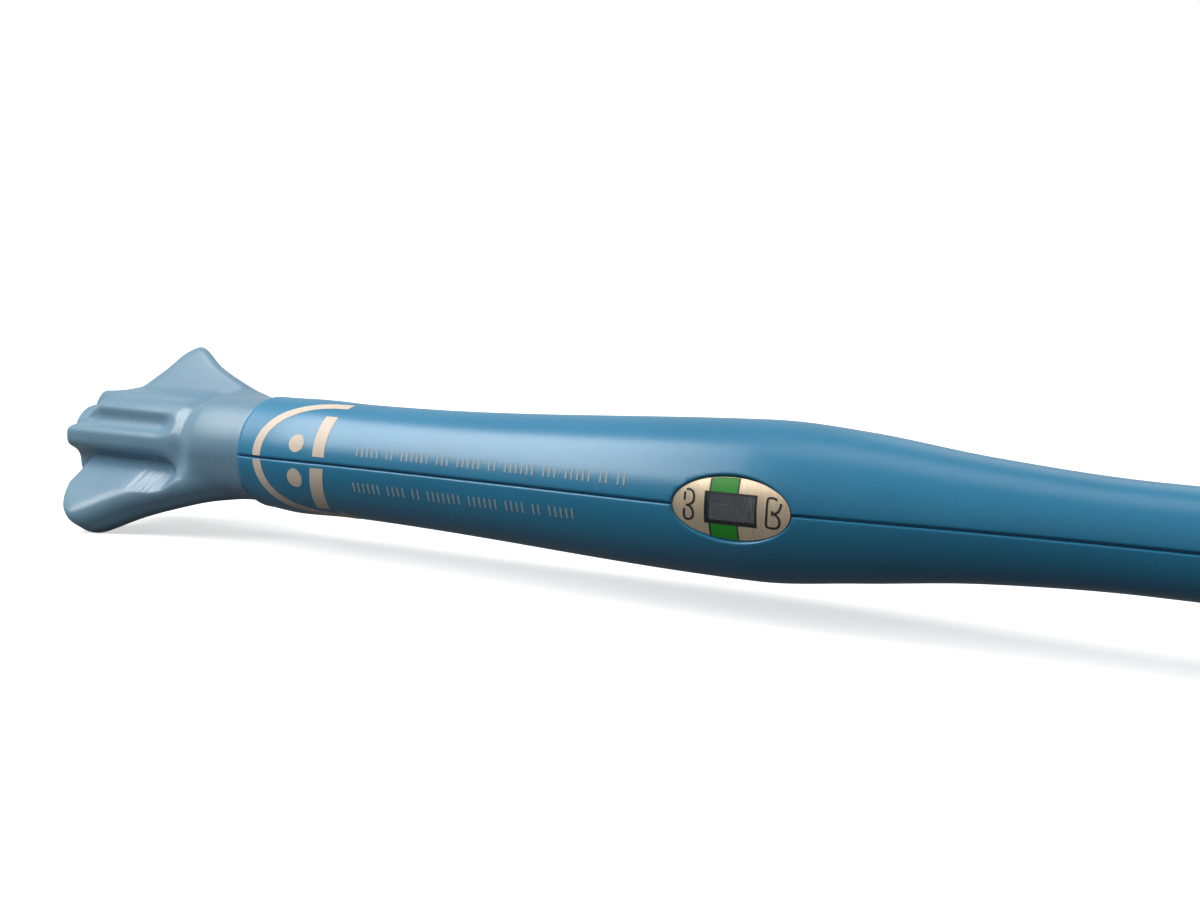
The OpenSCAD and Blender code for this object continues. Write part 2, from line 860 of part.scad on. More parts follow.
module safety_slider() {
    top_z = outer_r(safety_x) + clear;
    rib_gap = safety_len / (safety_ribs + 1);
    color("firebrick") {
        block([safety_x - safety_len / 2, -safety_w / 2, top_z],
            [safety_x + safety_len / 2, safety_w / 2, top_z + safety_t]);
        block([safety_x - safety_stem_l / 2, -safety_stem_w / 2, safety_foot_z],
            [safety_x + safety_stem_l / 2, safety_stem_w / 2, top_z]);
        block([safety_x - safety_foot_l / 2, -safety_foot_w / 2, safety_foot_z],
            [safety_x + safety_foot_l / 2, safety_foot_w / 2, safety_foot_z + safety_foot_t]);
        for (k = [1 : safety_ribs])
            block([safety_x - safety_len / 2 + k * rib_gap - safety_rib_t / 2, -safety_w / 2, top_z],
                [safety_x - safety_len / 2 + k * rib_gap + safety_rib_t / 2, safety_w / 2,
                    top_z + safety_t + safety_rib_t]);
    }
}

// Shaft

module shaft_ferrule() {
    color("silver") turned([
        [housing_end + touch, shaft_r + touch], [housing_end + touch, nose_r - clear],
        [housing_end + wall, nose_r - clear], [housing_end + 3 * wall, shaft_r + shaft_wall],
        [housing_end + 3 * wall, shaft_r + touch]
    ]);
}

module shaft_tube() {
    inner = shaft_r - shaft_wall;
    color("silver") {
        tube(shaft_x, bend_x, shaft_r, inner);
        along_bend(0, bend) difference() {
            circle(r = shaft_r);
            circle(r = inner);
        }
    }
}

module shaft_end_tube() {
    color("silver") distal_frame()
        tube(-end_straight, -neck_bore_x, shaft_r, shaft_r - shaft_wall);
}

module flex_band() {
    gap = clear / 2 / bend_r * 180 / PI;
    color("silver") along_bend(gap, bend - gap) square([flex_t, flex_h], center = true);
}

module curved_pusher() {
    gap = clear / 2 / bend_r * 180 / PI;
    color("ivory") along_bend(gap, bend - gap) difference() {
        circle(r = pusher_r);
        circle(r = pusher_bore_r);
    }
}

// Head

module distal_pusher() {
    color("ivory") distal_frame()
        tube(clear / 2 - end_straight, -driver_x - driver_t, pusher_r, pusher_bore_r);
}

// Repeats a shape at each staple of both rings; the inner ring is half a step round
module at_staples() {
    for (ring = [0, 1], k = [0 : staples_per_ring - 1])
        rotate([360 / staples_per_ring * (k + ring / 2), 0, 0])
            translate([0, 0, ring == 0 ? ring_out_r : ring_in_r]) children();
}

module staple_pusher() {
    color("ivory") distal_frame() {
        tube(-driver_x - driver_t, -driver_x, driver_r, pusher_bore_r);
        at_staples() block([-driver_x - touch, -finger_l / 2, -finger_w / 2],
            [-finger_tip, finger_l / 2, finger_w / 2]);
    }
}

module circular_knife() {
    color("silver") distal_frame() turned([
        [-driver_x, knife_r - blade_t], [-driver_x, knife_r], [-knife_depth - blade_t, knife_r],
        [-knife_depth, knife_r - blade_t]
    ]);
}

module staples() {
    root_x = -staple_depth - leg_len;
    color("silver") distal_frame() at_staples() {
        block([root_x, -crown_w / 2, -wire_t / 2], [root_x + wire_t, crown_w / 2, wire_t / 2]);
        for (side = [-1, 1])
            translate([0, side * (crown_w - wire_t) / 2, 0])
                block([root_x, -wire_t / 2, -wire_t / 2], [-staple_depth, wire_t / 2, wire_t / 2]);
    }
}

module staple_guide() {
    color("white") distal_frame() difference() {
        tube(-guide_len, 0, guide_out_r, guide_in_r);
        at_staples() block([-guide_len - cut, -slot_l / 2, -slot_w / 2], [cut, slot_l / 2, slot_w / 2]);
    }
}

module head_shell() {
    back = -head_len - cone_len;
    color("steelblue") distal_frame() difference() {
        turned(concat(
            [[back, 0], [back, neck_r]],
            smooth([
                [back + wall, neck_r], [back + cone_len * cone_share, head_r * cone_r_share],
                [-head_len, head_r]
            ], outer_steps),
            [[-head_lip_x, head_r], [0, head_r - head_lip], [0, 0]]
        ));
        rod(back - cut, -neck_bore_x + touch, shaft_r + touch);
        rod(-neck_bore_x, -driver_x - driver_t - loose, tail_tube_r);
        rod(-driver_x - driver_t - loose - touch, cut, guide_out_r + touch);
    }
}

// Anvil rod

module anvil_retainer() {
    body_x = spike_x - retainer_len;
    color("silver") distal_frame() difference() {
        union() {
            rod(clear / 2 - end_straight, body_x + cut, rod_r);
            rod(body_x, spike_x, retainer_r);
            rod(spike_x - cut, spike_x + spike_len, spike_r);
        }
        tube(spike_x, spike_x + band_len + touch, retainer_r, band_seat_r);
        rod(spike_x + spike_len - tip_spigot_len - touch, spike_x + spike_len + cut, tip_spigot_r + touch);
    }
}

module seating_band() {
    color("orange") distal_frame()
        tube(spike_x, spike_x + band_len, band_r, band_seat_r + touch);
}

module trocar_tip() {
    tip_x = spike_x + spike_len;
    color("white") distal_frame() {
        rod(tip_x - tip_spigot_len, tip_x + cut, tip_spigot_r);
        on_axis(tip_x) cylinder(r1 = spike_r, r2 = tip_end_r, h = tip_len);
    }
}

// Anvil

module anvil_shaft() {
    slit_l = anvil_shaft_len * slit_share;
    color("silver") distal_frame() difference() {
        rod(spike_x, anvil_x + shaft_seat, anvil_shaft_r);
        rod(spike_x - cut, anvil_x + cut, spike_r + run);
        for (turn = slit_turns) rotate([turn, 0, 0])
            block([spike_x + 2 * band_len, -slit_w / 2, -anvil_shaft_r - cut],
                [spike_x + 2 * band_len + slit_l, slit_w / 2, anvil_shaft_r + cut]);
        translate([anvil_x + anvil_pin_depth, 0, -anvil_shaft_r - cut])
            cylinder(r = anvil_pin_r + touch, h = 2 * (anvil_shaft_r + cut));
    }
}

module anvil_head() {
    rim = anvil_h * rim_share;
    dome = [for (k = [0 : dome_steps]) let (a = k * 90 / dome_steps)
        [anvil_x + rim + (anvil_h - rim) * sin(a), (anvil_r - dome_edge) * cos(a)]];
    color("silver") distal_frame() difference() {
        turned(concat([[anvil_x, 0], [anvil_x, anvil_r]], dome));
        rod(anvil_x - cut, anvil_x + shaft_seat + touch, anvil_shaft_r + touch);
        tube(anvil_x - cut, anvil_x + knife_well, knife_well_out_r, knife_well_in_r);
        at_staples() block([anvil_x - cut, -crown_w / 2, -pocket_w / 2],
            [anvil_x + pocket_depth, crown_w / 2, pocket_w / 2]);
        translate([anvil_x + anvil_pin_depth, 0, -anvil_pin_half - touch])
            cylinder(r = anvil_pin_r + touch, h = 2 * (anvil_pin_half + touch));
    }
}

module backup_ring() {
    color("white") distal_frame() tube(anvil_x + knife_well - backup_t, anvil_x + knife_well - touch,
        knife_well_out_r - touch, knife_well_in_r + touch);
}

module anvil_pin() {
    color("gray") distal_frame() translate([anvil_x + anvil_pin_depth, 0, -anvil_pin_half])
        cylinder(r = anvil_pin_r, h = 2 * anvil_pin_half);
}

wing_nut();
nut_cap();
nut_screw();
drive_sleeve();
retaining_ring();
rear_bush();
front_bush();
lead_screw();
pull_rod();
rod_rivet();
guide_pin();
rod_guide();
indicator_carriage();
indicator_flag();
indicator_plate();
indicator_lens();
upper_housing();
lower_housing();
housing_pins();
left_handle();
right_handle();
handle_pivots();
proximal_pusher();
return_spring();
spring_seat();
shaft_seal();
safety_slider();
shaft_ferrule();
shaft_tube();
shaft_end_tube();
flex_band();
curved_pusher();
distal_pusher();
staple_pusher();
circular_knife();
staples();
staple_guide();
head_shell();
anvil_retainer();
seating_band();
trocar_tip();
anvil_shaft();
anvil_head();
backup_ring();
anvil_pin();
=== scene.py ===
import math

import bmesh
import bpy
import numpy as np
from mathutils import Matrix, Vector


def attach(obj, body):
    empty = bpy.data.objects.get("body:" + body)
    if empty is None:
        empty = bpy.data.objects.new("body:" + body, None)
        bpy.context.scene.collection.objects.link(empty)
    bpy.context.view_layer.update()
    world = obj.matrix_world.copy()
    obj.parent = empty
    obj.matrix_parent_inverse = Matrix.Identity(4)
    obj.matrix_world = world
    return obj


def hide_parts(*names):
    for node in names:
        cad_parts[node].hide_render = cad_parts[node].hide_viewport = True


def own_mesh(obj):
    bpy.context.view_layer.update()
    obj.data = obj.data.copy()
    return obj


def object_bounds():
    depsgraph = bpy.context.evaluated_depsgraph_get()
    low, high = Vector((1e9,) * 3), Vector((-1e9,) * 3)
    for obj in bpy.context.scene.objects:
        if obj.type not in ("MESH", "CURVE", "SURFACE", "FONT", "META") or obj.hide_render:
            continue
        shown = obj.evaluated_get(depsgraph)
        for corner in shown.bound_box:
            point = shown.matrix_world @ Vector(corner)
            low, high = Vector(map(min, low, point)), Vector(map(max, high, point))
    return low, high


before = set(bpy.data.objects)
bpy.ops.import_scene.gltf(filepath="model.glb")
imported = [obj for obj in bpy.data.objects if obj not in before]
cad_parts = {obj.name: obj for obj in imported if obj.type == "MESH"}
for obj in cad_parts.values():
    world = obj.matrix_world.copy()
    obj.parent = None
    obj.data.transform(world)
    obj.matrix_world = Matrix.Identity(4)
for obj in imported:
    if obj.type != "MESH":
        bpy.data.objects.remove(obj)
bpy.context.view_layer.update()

# Circular surgical stapler. X runs along the casing from the wing nut to the head, the parting
# plane is z = 0 and the indicator window faces -Y. Sizes are in millimetres until a piece is
# finished, and an outline is a list of points of x and radius.
MM = 0.001
FULL_TURN = 2 * math.pi

NUT_LEN = 50
CASING_X = 50
WINDOW_X = 154
PIVOT_X = 338
PIVOT_Y = 15
CASING_END = 378
PLATE_R, PLATE_T = 12.1, 0.8
PLATE_LEN, PLATE_H = 20, 9.8
LENS_LEN, LENS_H = 8.8, 4.8
# Bores for the shaft tube, for the driver in the head, and for a pivot pin
SHAFT_BORE, DRIVER_BORE, PIN_BORE = 6.42, 14.67, 2.02

# ---------- finishes


def linear(hex_value):
    """A colour written as sRGB hex, in the linear values that Blender mixes."""
    parts = [int(hex_value[i:i + 2], 16) / 255 for i in (1, 3, 5)]
    return tuple(c / 12.92 if c <= 0.04045 else ((c + 0.055) / 1.055) ** 2.4
                 for c in parts) + (1.0,)


def add_node(tree, kind, inputs=None, **settings):
    """Adds one node with its settings. An input is a value, or another node's output to link."""
    node = tree.nodes.new(kind)
    for key, value in settings.items():
        setattr(node, key, value)
    for key, value in (inputs or {}).items():
        if isinstance(value, bpy.types.NodeSocket):
            tree.links.new(value, node.inputs[key])
        else:
            node.inputs[key].default_value = value
    return node


def finish_of(name, roughness, metallic=0.0, **sockets):
    """A new material whose shader has its constants set; the callers link what varies."""
    material = bpy.data.materials.new(name)
    material.use_nodes = True
    tree = material.node_tree
    tree.nodes.clear()
    values = {"Roughness": roughness, "Metallic": metallic} | sockets
    shader = add_node(tree, "ShaderNodeBsdfPrincipled", values)
    add_node(tree, "ShaderNodeOutputMaterial", {"Surface": shader.outputs["BSDF"]})
    return material, tree, shader


def noise(tree, size_mm, stretch=(1, 1, 1), turn=0.0, **inputs):
    """A noise on Object coordinates whose cells are size_mm across, stretched along axes that
    are turned about Z with the piece."""
    place = add_node(tree, "ShaderNodeTexCoord")
    scaled = add_node(tree, "ShaderNodeMapping", {
        "Vector": place.outputs["Object"], "Rotation": (0, 0, turn), "Scale": stretch
    }, vector_type="TEXTURE")
    values = {"Vector": scaled.outputs["Vector"], "Scale": 1 / (size_mm * MM)} | inputs
    return add_node(tree, "ShaderNodeTexNoise", values).outputs["Fac"]


def spread(tree, fac, low=0.0, high=1.0):
    """A noise's middle values, where nearly all of it lies, spread from low to high."""
    return add_node(tree, "ShaderNodeMapRange", {
        "Value": fac, "From Min": 0.3, "From Max": 0.7, "To Min": low, "To Max": high
    }).outputs["Result"]


def mix_colours(tree, fac, a, b):
    mix = add_node(tree, "ShaderNodeMix", {"Factor": fac, "A": a, "B": b}, data_type="RGBA")
    return mix.outputs["Result"]


def vary_colour(tree, shader, fac, low, high):
    """Base colour that drifts between two near shades with a noise."""
    colour = mix_colours(tree, spread(tree, fac), linear(low), linear(high))
    tree.links.new(colour, shader.inputs["Base Color"])
    return colour


def vary_roughness(tree, shader, fac, low, high):
    tree.links.new(spread(tree, fac, low, high), shader.inputs["Roughness"])


def raise_bump(tree, shader, fac, depth_mm):
    bump = add_node(tree, "ShaderNodeBump",
                    {"Height": fac, "Strength": 1.0, "Distance": depth_mm * MM})
    tree.links.new(bump.outputs["Normal"], shader.inputs["Normal"])


def moulded_plastic(name, low, high, roughness, grain_mm=0.35, grain_depth=0.012, cloud_mm=9):
    """Injection moulded plastic. The mould's eroded grain breaks up its satin highlight, and the
    flow of the melt leaves very faint clouds of shade."""
    material, tree, shader = finish_of(name, roughness, IOR=1.54)
    grain = noise(tree, grain_mm, Detail=3.0, Roughness=0.55)
    cloud = noise(tree, cloud_mm, stretch=(3, 1, 1), Detail=2.0)
    vary_colour(tree, shader, cloud, low, high)
    vary_roughness(tree, shader, grain, roughness - 0.04, roughness + 0.06)
    raise_bump(tree, shader, grain, grain_depth)
    return material


def turned_metal(name, low, high, roughness=0.27, line_mm=0.4, along=(1, 40, 40), depth=0.0015,
                 turn=0.0):
    """Bright metal from a lathe or a drawing die: fine lines that stretch its reflections. The
    lines are drawn 0.4 mm apart where a real tool leaves them nearer 0.1 mm, too fine to show."""
    material, tree, shader = finish_of(name, roughness, metallic=1.0)
    lines = noise(tree, line_mm, stretch=along, turn=turn, Detail=2.0)
    vary_colour(tree, shader, lines, low, high)
    vary_roughness(tree, shader, lines, roughness - 0.06, roughness + 0.08)
    raise_bump(tree, shader, lines, depth)
    return material


def printed_ink(name, low, high, roughness=0.5):
    """Pad printed ink: a thin dead layer with a slightly uneven cover."""
    material, tree, shader = finish_of(name, roughness, IOR=1.5)
    cover = noise(tree, 0.4, Detail=3.0)
    vary_colour(tree, shader, cover, low, high)
    vary_roughness(tree, shader, cover, roughness - 0.06, roughness + 0.08)
    return material


# ABS with a fine spark eroded grain, drawn at 0.35 mm where the real one is nearer 0.1 mm, too
# fine to show: it turns the highlight along the casing into a soft sparkling band.
CASING_BLUE = moulded_plastic("casing_blue_abs", "#1b7ea7", "#2187b0", roughness=0.31)
# The same ABS in a paler shade: its broad faces give the light back as an even, milky sheen.
NUT_BLUE = moulded_plastic("nut_pale_blue_abs", "#668ba3", "#7096ab", roughness=0.3)
# The handles' mould is polished a little less, which widens and dulls the highlight.
HANDLE_BLUE = moulded_plastic("handle_blue_abs", "#1a799f", "#2082a8", roughness=0.33)
# Acetal is waxy and a little translucent; here it is only a soft warm white with a low grain.
ACETAL = moulded_plastic("white_acetal", "#d9d7cf", "#e4e2da", roughness=0.35, grain_depth=0.004)
# Polycarbonate is a cooler white than acetal, and its smoother skin has crisper highlights.
GUIDE_WHITE = moulded_plastic("guide_white_polycarbonate", "#dcdedd", "#e7e8e6", roughness=0.3,
                              grain_depth=0.003)
# Deep opaque red with a satin skin, so that the button reads at once against the blue.
SAFETY_RED = moulded_plastic("safety_red_abs", "#a81c1c", "#b52421", roughness=0.38)
# Strong flat oranges of signal pieces: the flag's is red enough to tell through the window.
FLAG_ORANGE = moulded_plastic("flag_orange_acetal", "#e2571b", "#ee6420", roughness=0.4)
BAND_ORANGE = moulded_plastic("seating_band_orange", "#e77a1c", "#f28a2a", roughness=0.35)
# Nitrile rubber: matt, nearly black, with the dusty bloom of a moulded seal.
SEAL_RUBBER = moulded_plastic("seal_nitrile_rubber", "#1b1c1e", "#26272a", roughness=0.7,
                              grain_depth=0.02)
# Stainless steel turned on a lathe, and drawn tube polished along its length.
STEEL = turned_metal("turned_stainless_steel", "#b9bbbd", "#cfd1d3")
SHAFT_STEEL = turned_metal("polished_stainless_tube", "#c3c5c7", "#d6d8da", roughness=0.29,
                           along=(60, 1, 1), depth=0.0004)
# The anvil and its shaft are turned on the head's axis, 38 degrees off the casing's.
ANVIL_STEEL = turned_metal("turned_anvil_steel", "#bcbec0", "#ced0d2", turn=math.radians(38))
# The sleeve is blackened, so that the window stays dark until the orange flag comes into it.
BLACK_STEEL = turned_metal("black_oxide_steel", "#15171a", "#1e2125", roughness=0.45)
# Cold drawn wire: the spring's is a duller grey than turned steel, the staples' a warmer one.
SPRING_STEEL = turned_metal("drawn_spring_wire", "#8f9296", "#a7aaad", roughness=0.3)
TITANIUM = turned_metal("titanium_wire", "#a3a19d", "#b7b5b0", roughness=0.3)
# Cream ink lies on the satin casing as a warm, dead layer without a highlight of its own.
CREAM_INK = printed_ink("cream_pad_print", "#dfcdb6", "#ecdccb")
# The same ink where fingers have rubbed it thin, so that the blue shows through.
WORN_INK = printed_ink("rubbed_pad_print", "#9fb0b5", "#b5bcb8")
# Screen inks on the foil cover fully and dry to a slight gloss.
GREEN_INK = printed_ink("green_zone_print", "#128c15", "#1b9a1c", roughness=0.4)
BLACK_INK = printed_ink("black_line_print", "#060708", "#0e0f10", roughness=0.35)


def champagne_foil():
    """Brushed aluminium foil under a champagne lacquer: very fine upright strokes, a satin
    sheen that goes from dull to bright across the curve of the plate."""
    material, tree, shader = finish_of("champagne_label_foil", 0.34, metallic=0.75)
    strokes = noise(tree, 0.15, stretch=(1, 30, 30), Detail=2.0)
    vary_colour(tree, shader, strokes, "#c4b195", "#d6c4a9")
    vary_roughness(tree, shader, strokes, 0.28, 0.4)
    raise_bump(tree, shader, strokes, 0.002)
    return material


def window_polycarbonate():
    """Clear moulded polycarbonate, slightly smoky, with a faint ripple in its polished face."""
    material, tree, shader = finish_of("clear_polycarbonate", 0.04, IOR=1.58)
    shader.inputs["Transmission Weight"].default_value = 1.0
    ripple = noise(tree, 3.0, Detail=1.0)
    vary_colour(tree, shader, ripple, "#b2bdc8", "#bac4cd")
    raise_bump(tree, shader, ripple, 0.01)
    return material


FOIL = champagne_foil()
CLEAR = window_polycarbonate()

# ---------- making and finishing shapes


def woven(rows, columns, place):
    """A grid of faces whose corner (row, column) is moved to where place says."""
    mesh = bmesh.new()
    bmesh.ops.create_grid(mesh, x_segments=columns, y_segments=rows, size=1)
    for v in mesh.verts:
        v.co = place(round((v.co.y + 1) / 2 * rows), round((v.co.x + 1) / 2 * columns))
    return tidied(mesh)


def tidied(mesh, merge=1e-4):
    bmesh.ops.remove_doubles(mesh, verts=mesh.verts, dist=merge)
    bmesh.ops.dissolve_degenerate(mesh, edges=mesh.edges, dist=merge)
    bmesh.ops.recalc_face_normals(mesh, faces=mesh.faces)
    return mesh


def turned(points, steps=96):
    """Shape turned round the X axis from points of x and radius."""
    mesh = bmesh.new()
    chain = [mesh.verts.new((x, r, 0)) for x, r in points]
    edges = [mesh.edges.new(pair) for pair in zip(chain, chain[1:])]
    bmesh.ops.spin(mesh, geom=chain + edges, axis=(1, 0, 0), cent=(0, 0, 0),
                   angle=FULL_TURN, steps=steps, use_merge=True)
    return tidied(mesh)


def rod(x0, x1, r, steps=96):
    return turned([(x0, 0), (x0, r), (x1, r), (x1, 0)], steps)


def block(low, high):
    mesh = bmesh.new()
    bmesh.ops.create_cube(mesh, size=1)
    size = Vector(high) - Vector(low)
    bmesh.ops.scale(mesh, vec=size, verts=mesh.verts)
    bmesh.ops.translate(mesh, vec=Vector(low) + size / 2, verts=mesh.verts)
    return mesh


def upright(mesh):
    """Stands a shape drawn round X on end, so that its +X runs along +Z."""
    return moved(mesh, Matrix.Rotation(-math.pi / 2, 4, "Y"))


def moved(mesh, matrix):
    bmesh.ops.transform(mesh, matrix=matrix, verts=mesh.verts)
    return mesh


def pillar(low, high, r, at=(0, 0), steps=96):
    """Round bar along Z, from one height to another, at a place in plan."""
    return moved(upright(rod(low, high, r, steps)), Matrix.Translation((*at, 0)))


def rounded_profile(points, edge, steps=4):
    """Points of a turned outline with each marked corner rounded; a point is (x, r, share)."""
    out = []
    for i, (x, r, share) in enumerate(points):
        if not share or i in (0, len(points) - 1):
            out.append((x, r))
            continue
        corner = Vector((x, r))
        back = Vector(points[i - 1][:2]) - corner
        ahead = Vector(points[i + 1][:2]) - corner
        reach = min(edge * share, back.length * 0.49, ahead.length * 0.49)
        a, b = corner + back.normalized() * reach, corner + ahead.normalized() * reach
        for k in range(steps + 1):
            t = k / steps
            out.append(tuple(a * (1 - t) ** 2 + corner * 2 * t * (1 - t) + b * t * t))
    return out


def lone_object(mesh, name):
    data = bpy.data.meshes.new(name)
    mesh.to_mesh(data)
    mesh.free()
    piece = bpy.data.objects.new(name, data)
    bpy.context.scene.collection.objects.link(piece)
    return piece


def carved(mesh, tools, operation="DIFFERENCE"):
    """The mesh cut by, or joined with, each tool in turn."""
    blank = lone_object(mesh, "blank")
    helpers = [lone_object(tool, "tool") for tool in tools]
    for helper in helpers:
        step = blank.modifiers.new("carve", "BOOLEAN")
        step.object = helper
        step.operation = operation
        step.solver = "MANIFOLD"
    bpy.context.view_layer.update()
    graph = bpy.context.evaluated_depsgraph_get()
    data = bpy.data.meshes.new_from_object(blank.evaluated_get(graph))
    result = bmesh.new()
    result.from_mesh(data)
    bpy.data.meshes.remove(data)
    for spare in [blank] + helpers:
        old = spare.data
        bpy.data.objects.remove(spare)
        bpy.data.meshes.remove(old)
    return result


def finish_piece(mesh, name, body, finish, in_cad=True, edge=0.0, crease=35):
    """Brings a shape to metres and makes it a piece that rides on a CAD body. It stands for the
    CAD node of its own name, if in_cad, and edge is the radius left on its sharp edges."""
    tidied(mesh)
    bmesh.ops.scale(mesh, vec=(MM, MM, MM), verts=mesh.verts)
    piece = lone_object(mesh, name)
    piece.data.materials.append(finish)
    piece.data.shade_smooth()
    piece.data.set_sharp_from_angle(angle=math.radians(crease))
    if edge:
        bevel = piece.modifiers.new("edge", "BEVEL")
        bevel.width = edge * MM
        bevel.segments = 2
        bevel.limit_method = "ANGLE"
        bevel.angle_limit = math.radians(crease)
        bevel.harden_normals = True
    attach(piece, body)
    if in_cad:
        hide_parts(name)
    return piece


def cad_copy(node):
    """A merged copy of a CAD node's mesh in millimetres, with its flat faces whole again."""
    mesh = bmesh.new()
    mesh.from_mesh(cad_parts[node].data)
    bmesh.ops.scale(mesh, vec=(1 / MM,) * 3, verts=mesh.verts)
    bmesh.ops.remove_doubles(mesh, verts=mesh.verts, dist=1e-3)
    bmesh.ops.dissolve_limit(mesh, angle_limit=math.radians(1.5), verts=mesh.verts,
                             edges=mesh.edges, delimit={"NORMAL"})
    return mesh


def slope(points, i):
    if i in (0, len(points) - 1):
        return 0.0
    return (points[i + 1][1] - points[i - 1][1]) / (points[i + 1][0] - points[i - 1][0])


def flow(points, x):
    """Smooth curve through points that are ordered along x, level at both ends."""
    if x <= points[0][0]:
        return points[0][1]
    if x >= points[-1][0]:
        return points[-1][1]
    i = max(k for k in range(len(points) - 1) if points[k][0] <= x)
    (ax, ay), (bx, by) = points[i:i + 2]
    h = bx - ax
    t = (x - ax) / h
    ma, mb = slope(points, i), slope(points, i + 1)
    return (ay * (2 * t ** 3 - 3 * t ** 2 + 1) + by * (3 * t ** 2 - 2 * t ** 3)
            + h * (ma * (t ** 3 - 2 * t ** 2 + t) + mb * (t ** 3 - t ** 2)))


def smooth_min(a, b, k):
    """The smaller of two distances, with a fillet of about k where they meet."""
    h = np.clip(k - np.abs(a - b), 0, None) / k
    return np.minimum(a, b) - h * h * k / 4


def smooth_max(a, b, k):
    return -smooth_min(-a, -b, k)


def rounded_slab(da, db, edge):
    """Distance to where two slabs overlap, with their shared edge rounded."""
    qa, qb = da + edge, db + edge
    inside = np.minimum(np.maximum(qa, qb), 0)
    return inside + np.hypot(np.maximum(qa, 0), np.maximum(qb, 0)) - edge


def reach_of(distance, outer, inner, step=0.25):
    """Farthest radius, for each row and column, at which distance(radius) is still inside."""
    low = np.full(distance(outer).shape, float(inner))
    found = np.zeros(low.shape, bool)
    radius = outer
    while radius > inner:
        inside = (distance(radius) < 0) & ~found
        low[inside] = radius
        found |= inside
        radius -= step
    high = low + step
    for _ in range(14):
        middle = (low + high) / 2
        inside = distance(middle) < 0
        low = np.where(inside, middle, low)
        high = np.where(inside, high, middle)
    return low


# ---------- casing

# Outline of the casing, as x and radius
OUTLINE = [
    (50, 10.4), (59.36, 10.7), (73.92, 10.4), (97.01, 10.73), (154, 12.6), (170.56, 11.36),
    (189.88, 9.12), (213.8, 7.8), (300.28, 8.21), (338, 11.5), (360, 10.79), (378, 8.4)
]
# How far the upper half stands over a round section; the lower half makes up for it
CROWN = [
    (50, 0.975), (57, 0.955), (66, 0.96), (74, 0.956), (97, 0.948), (124, 0.962), (154, 1.0),
    (170.7, 1.035), (190, 1.04), (214, 1.014), (234, 1.0), (378, 1.0)
]
END_EDGE = 0.6
# Lip of a half at the parting plane, as heights over it and how far the skin draws back there
SEAM_LIP = [(0, 0.9), (0.08, 0.9), (0.13, 0.88), (0.15, 0.3), (0.19, 0.17), (0.25, 0.08),
            (0.34, 0.02), (0.46, 0)]
KNUCKLE_R, KNUCKLE_HALF, KNUCKLE_EDGE, KNUCKLE_FILLET = 10, 11.5, 3.5, 5.0
WALL = 2


def casing_r(x):
    return flow(OUTLINE, x)


def casing_reach(xs, turns):
    """Distance from the axis to the skin, for stations xs and turns from -Y towards +Z."""
    plain = np.array([casing_r(x) for x in xs])[:, None]
    x = np.array(xs, float)[:, None]
    turn = np.array(turns, float)[None, :]

    def distance(radius):
        y, z = np.abs(radius * np.cos(turn)), np.abs(radius * np.sin(turn))
        across = np.hypot(x - PIVOT_X, y - PIVOT_Y) - KNUCKLE_R
        knuckle = rounded_slab(across, z - KNUCKLE_HALF, KNUCKLE_EDGE)
        return smooth_min(radius - plain, knuckle, KNUCKLE_FILLET)

    return reach_of(distance, outer=27.0, inner=5.0)


def half_height(x, above):
    crown = flow(CROWN, x)
    return crown if above else 2 - crown


def eased(depth, edge):
    """How far a rounded edge draws back at a depth from the face it ends in."""
    return edge - math.sqrt(max(edge * edge - (edge - min(depth, edge)) ** 2, 0))


# Grid of a half: degrees from the front seam between its two lips, and stations along x
LIP = len(SEAM_LIP)
TURNS = [4.5 + 2.25 * k for k in range(77)]
COLUMNS = len(TURNS) + 2 * LIP
SEAM_TURN = 0.5
END_STEPS = [0, 0.05, 0.15, 0.35, 0.6, 1.2]
STATIONS = (
    [CASING_X + s for s in END_STEPS] + [52 + 1.0 * k for k in range(268)]
    + [320 + 0.6 * k for k in range(95)] + [CASING_END - s for s in reversed(END_STEPS)]
)


def casing_half(above):
    """Solid half of the casing, closed at the parting plane with its edges rounded."""
    turns = [SEAM_TURN] + TURNS + [180 - SEAM_TURN]
    reach = casing_reach(STATIONS, [math.radians(t) for t in turns])
    side = 1 if above else -1

    def place(row, column):
        i = min(max(row - 1, 0), len(STATIONS) - 1)
        x = STATIONS[i]
        if row in (0, len(STATIONS) + 1) or column in (0, COLUMNS + 1):
            return Vector((x, 0, 0))
        end = eased(min(x - CASING_X, CASING_END - x), END_EDGE)
        front, rear = column - 1 < LIP, column - 1 >= COLUMNS - LIP
        if front or rear:
            z, drawn = SEAM_LIP[column - 1 if front else COLUMNS - column]
            r = reach[i][0 if front else -1] - end
            y = math.sqrt(r * r - z * z) - drawn
            return Vector((x, -y if front else y, side * z))
        turn = math.radians(TURNS[column - 1 - LIP])
        r = reach[i][column - LIP] - end
        return Vector((x, -r * math.cos(turn), side * r * math.sin(turn) * half_height(x, above)))

    return woven(len(STATIONS) + 1, COLUMNS + 1, place)


# Seats of the two bushes and the rod guide, as first x, last x and radius
SEATS = ((52, 59.02, 9.22), (132.98, 140.02, 10.62), (297.98, 304.02, 6.62))
CAVITY_X, SEAL_X, SHAFT_SEAT_X = 52, 364, 366.5
TAIL_BORE, SEAL_BORE = 7.9, 7.6


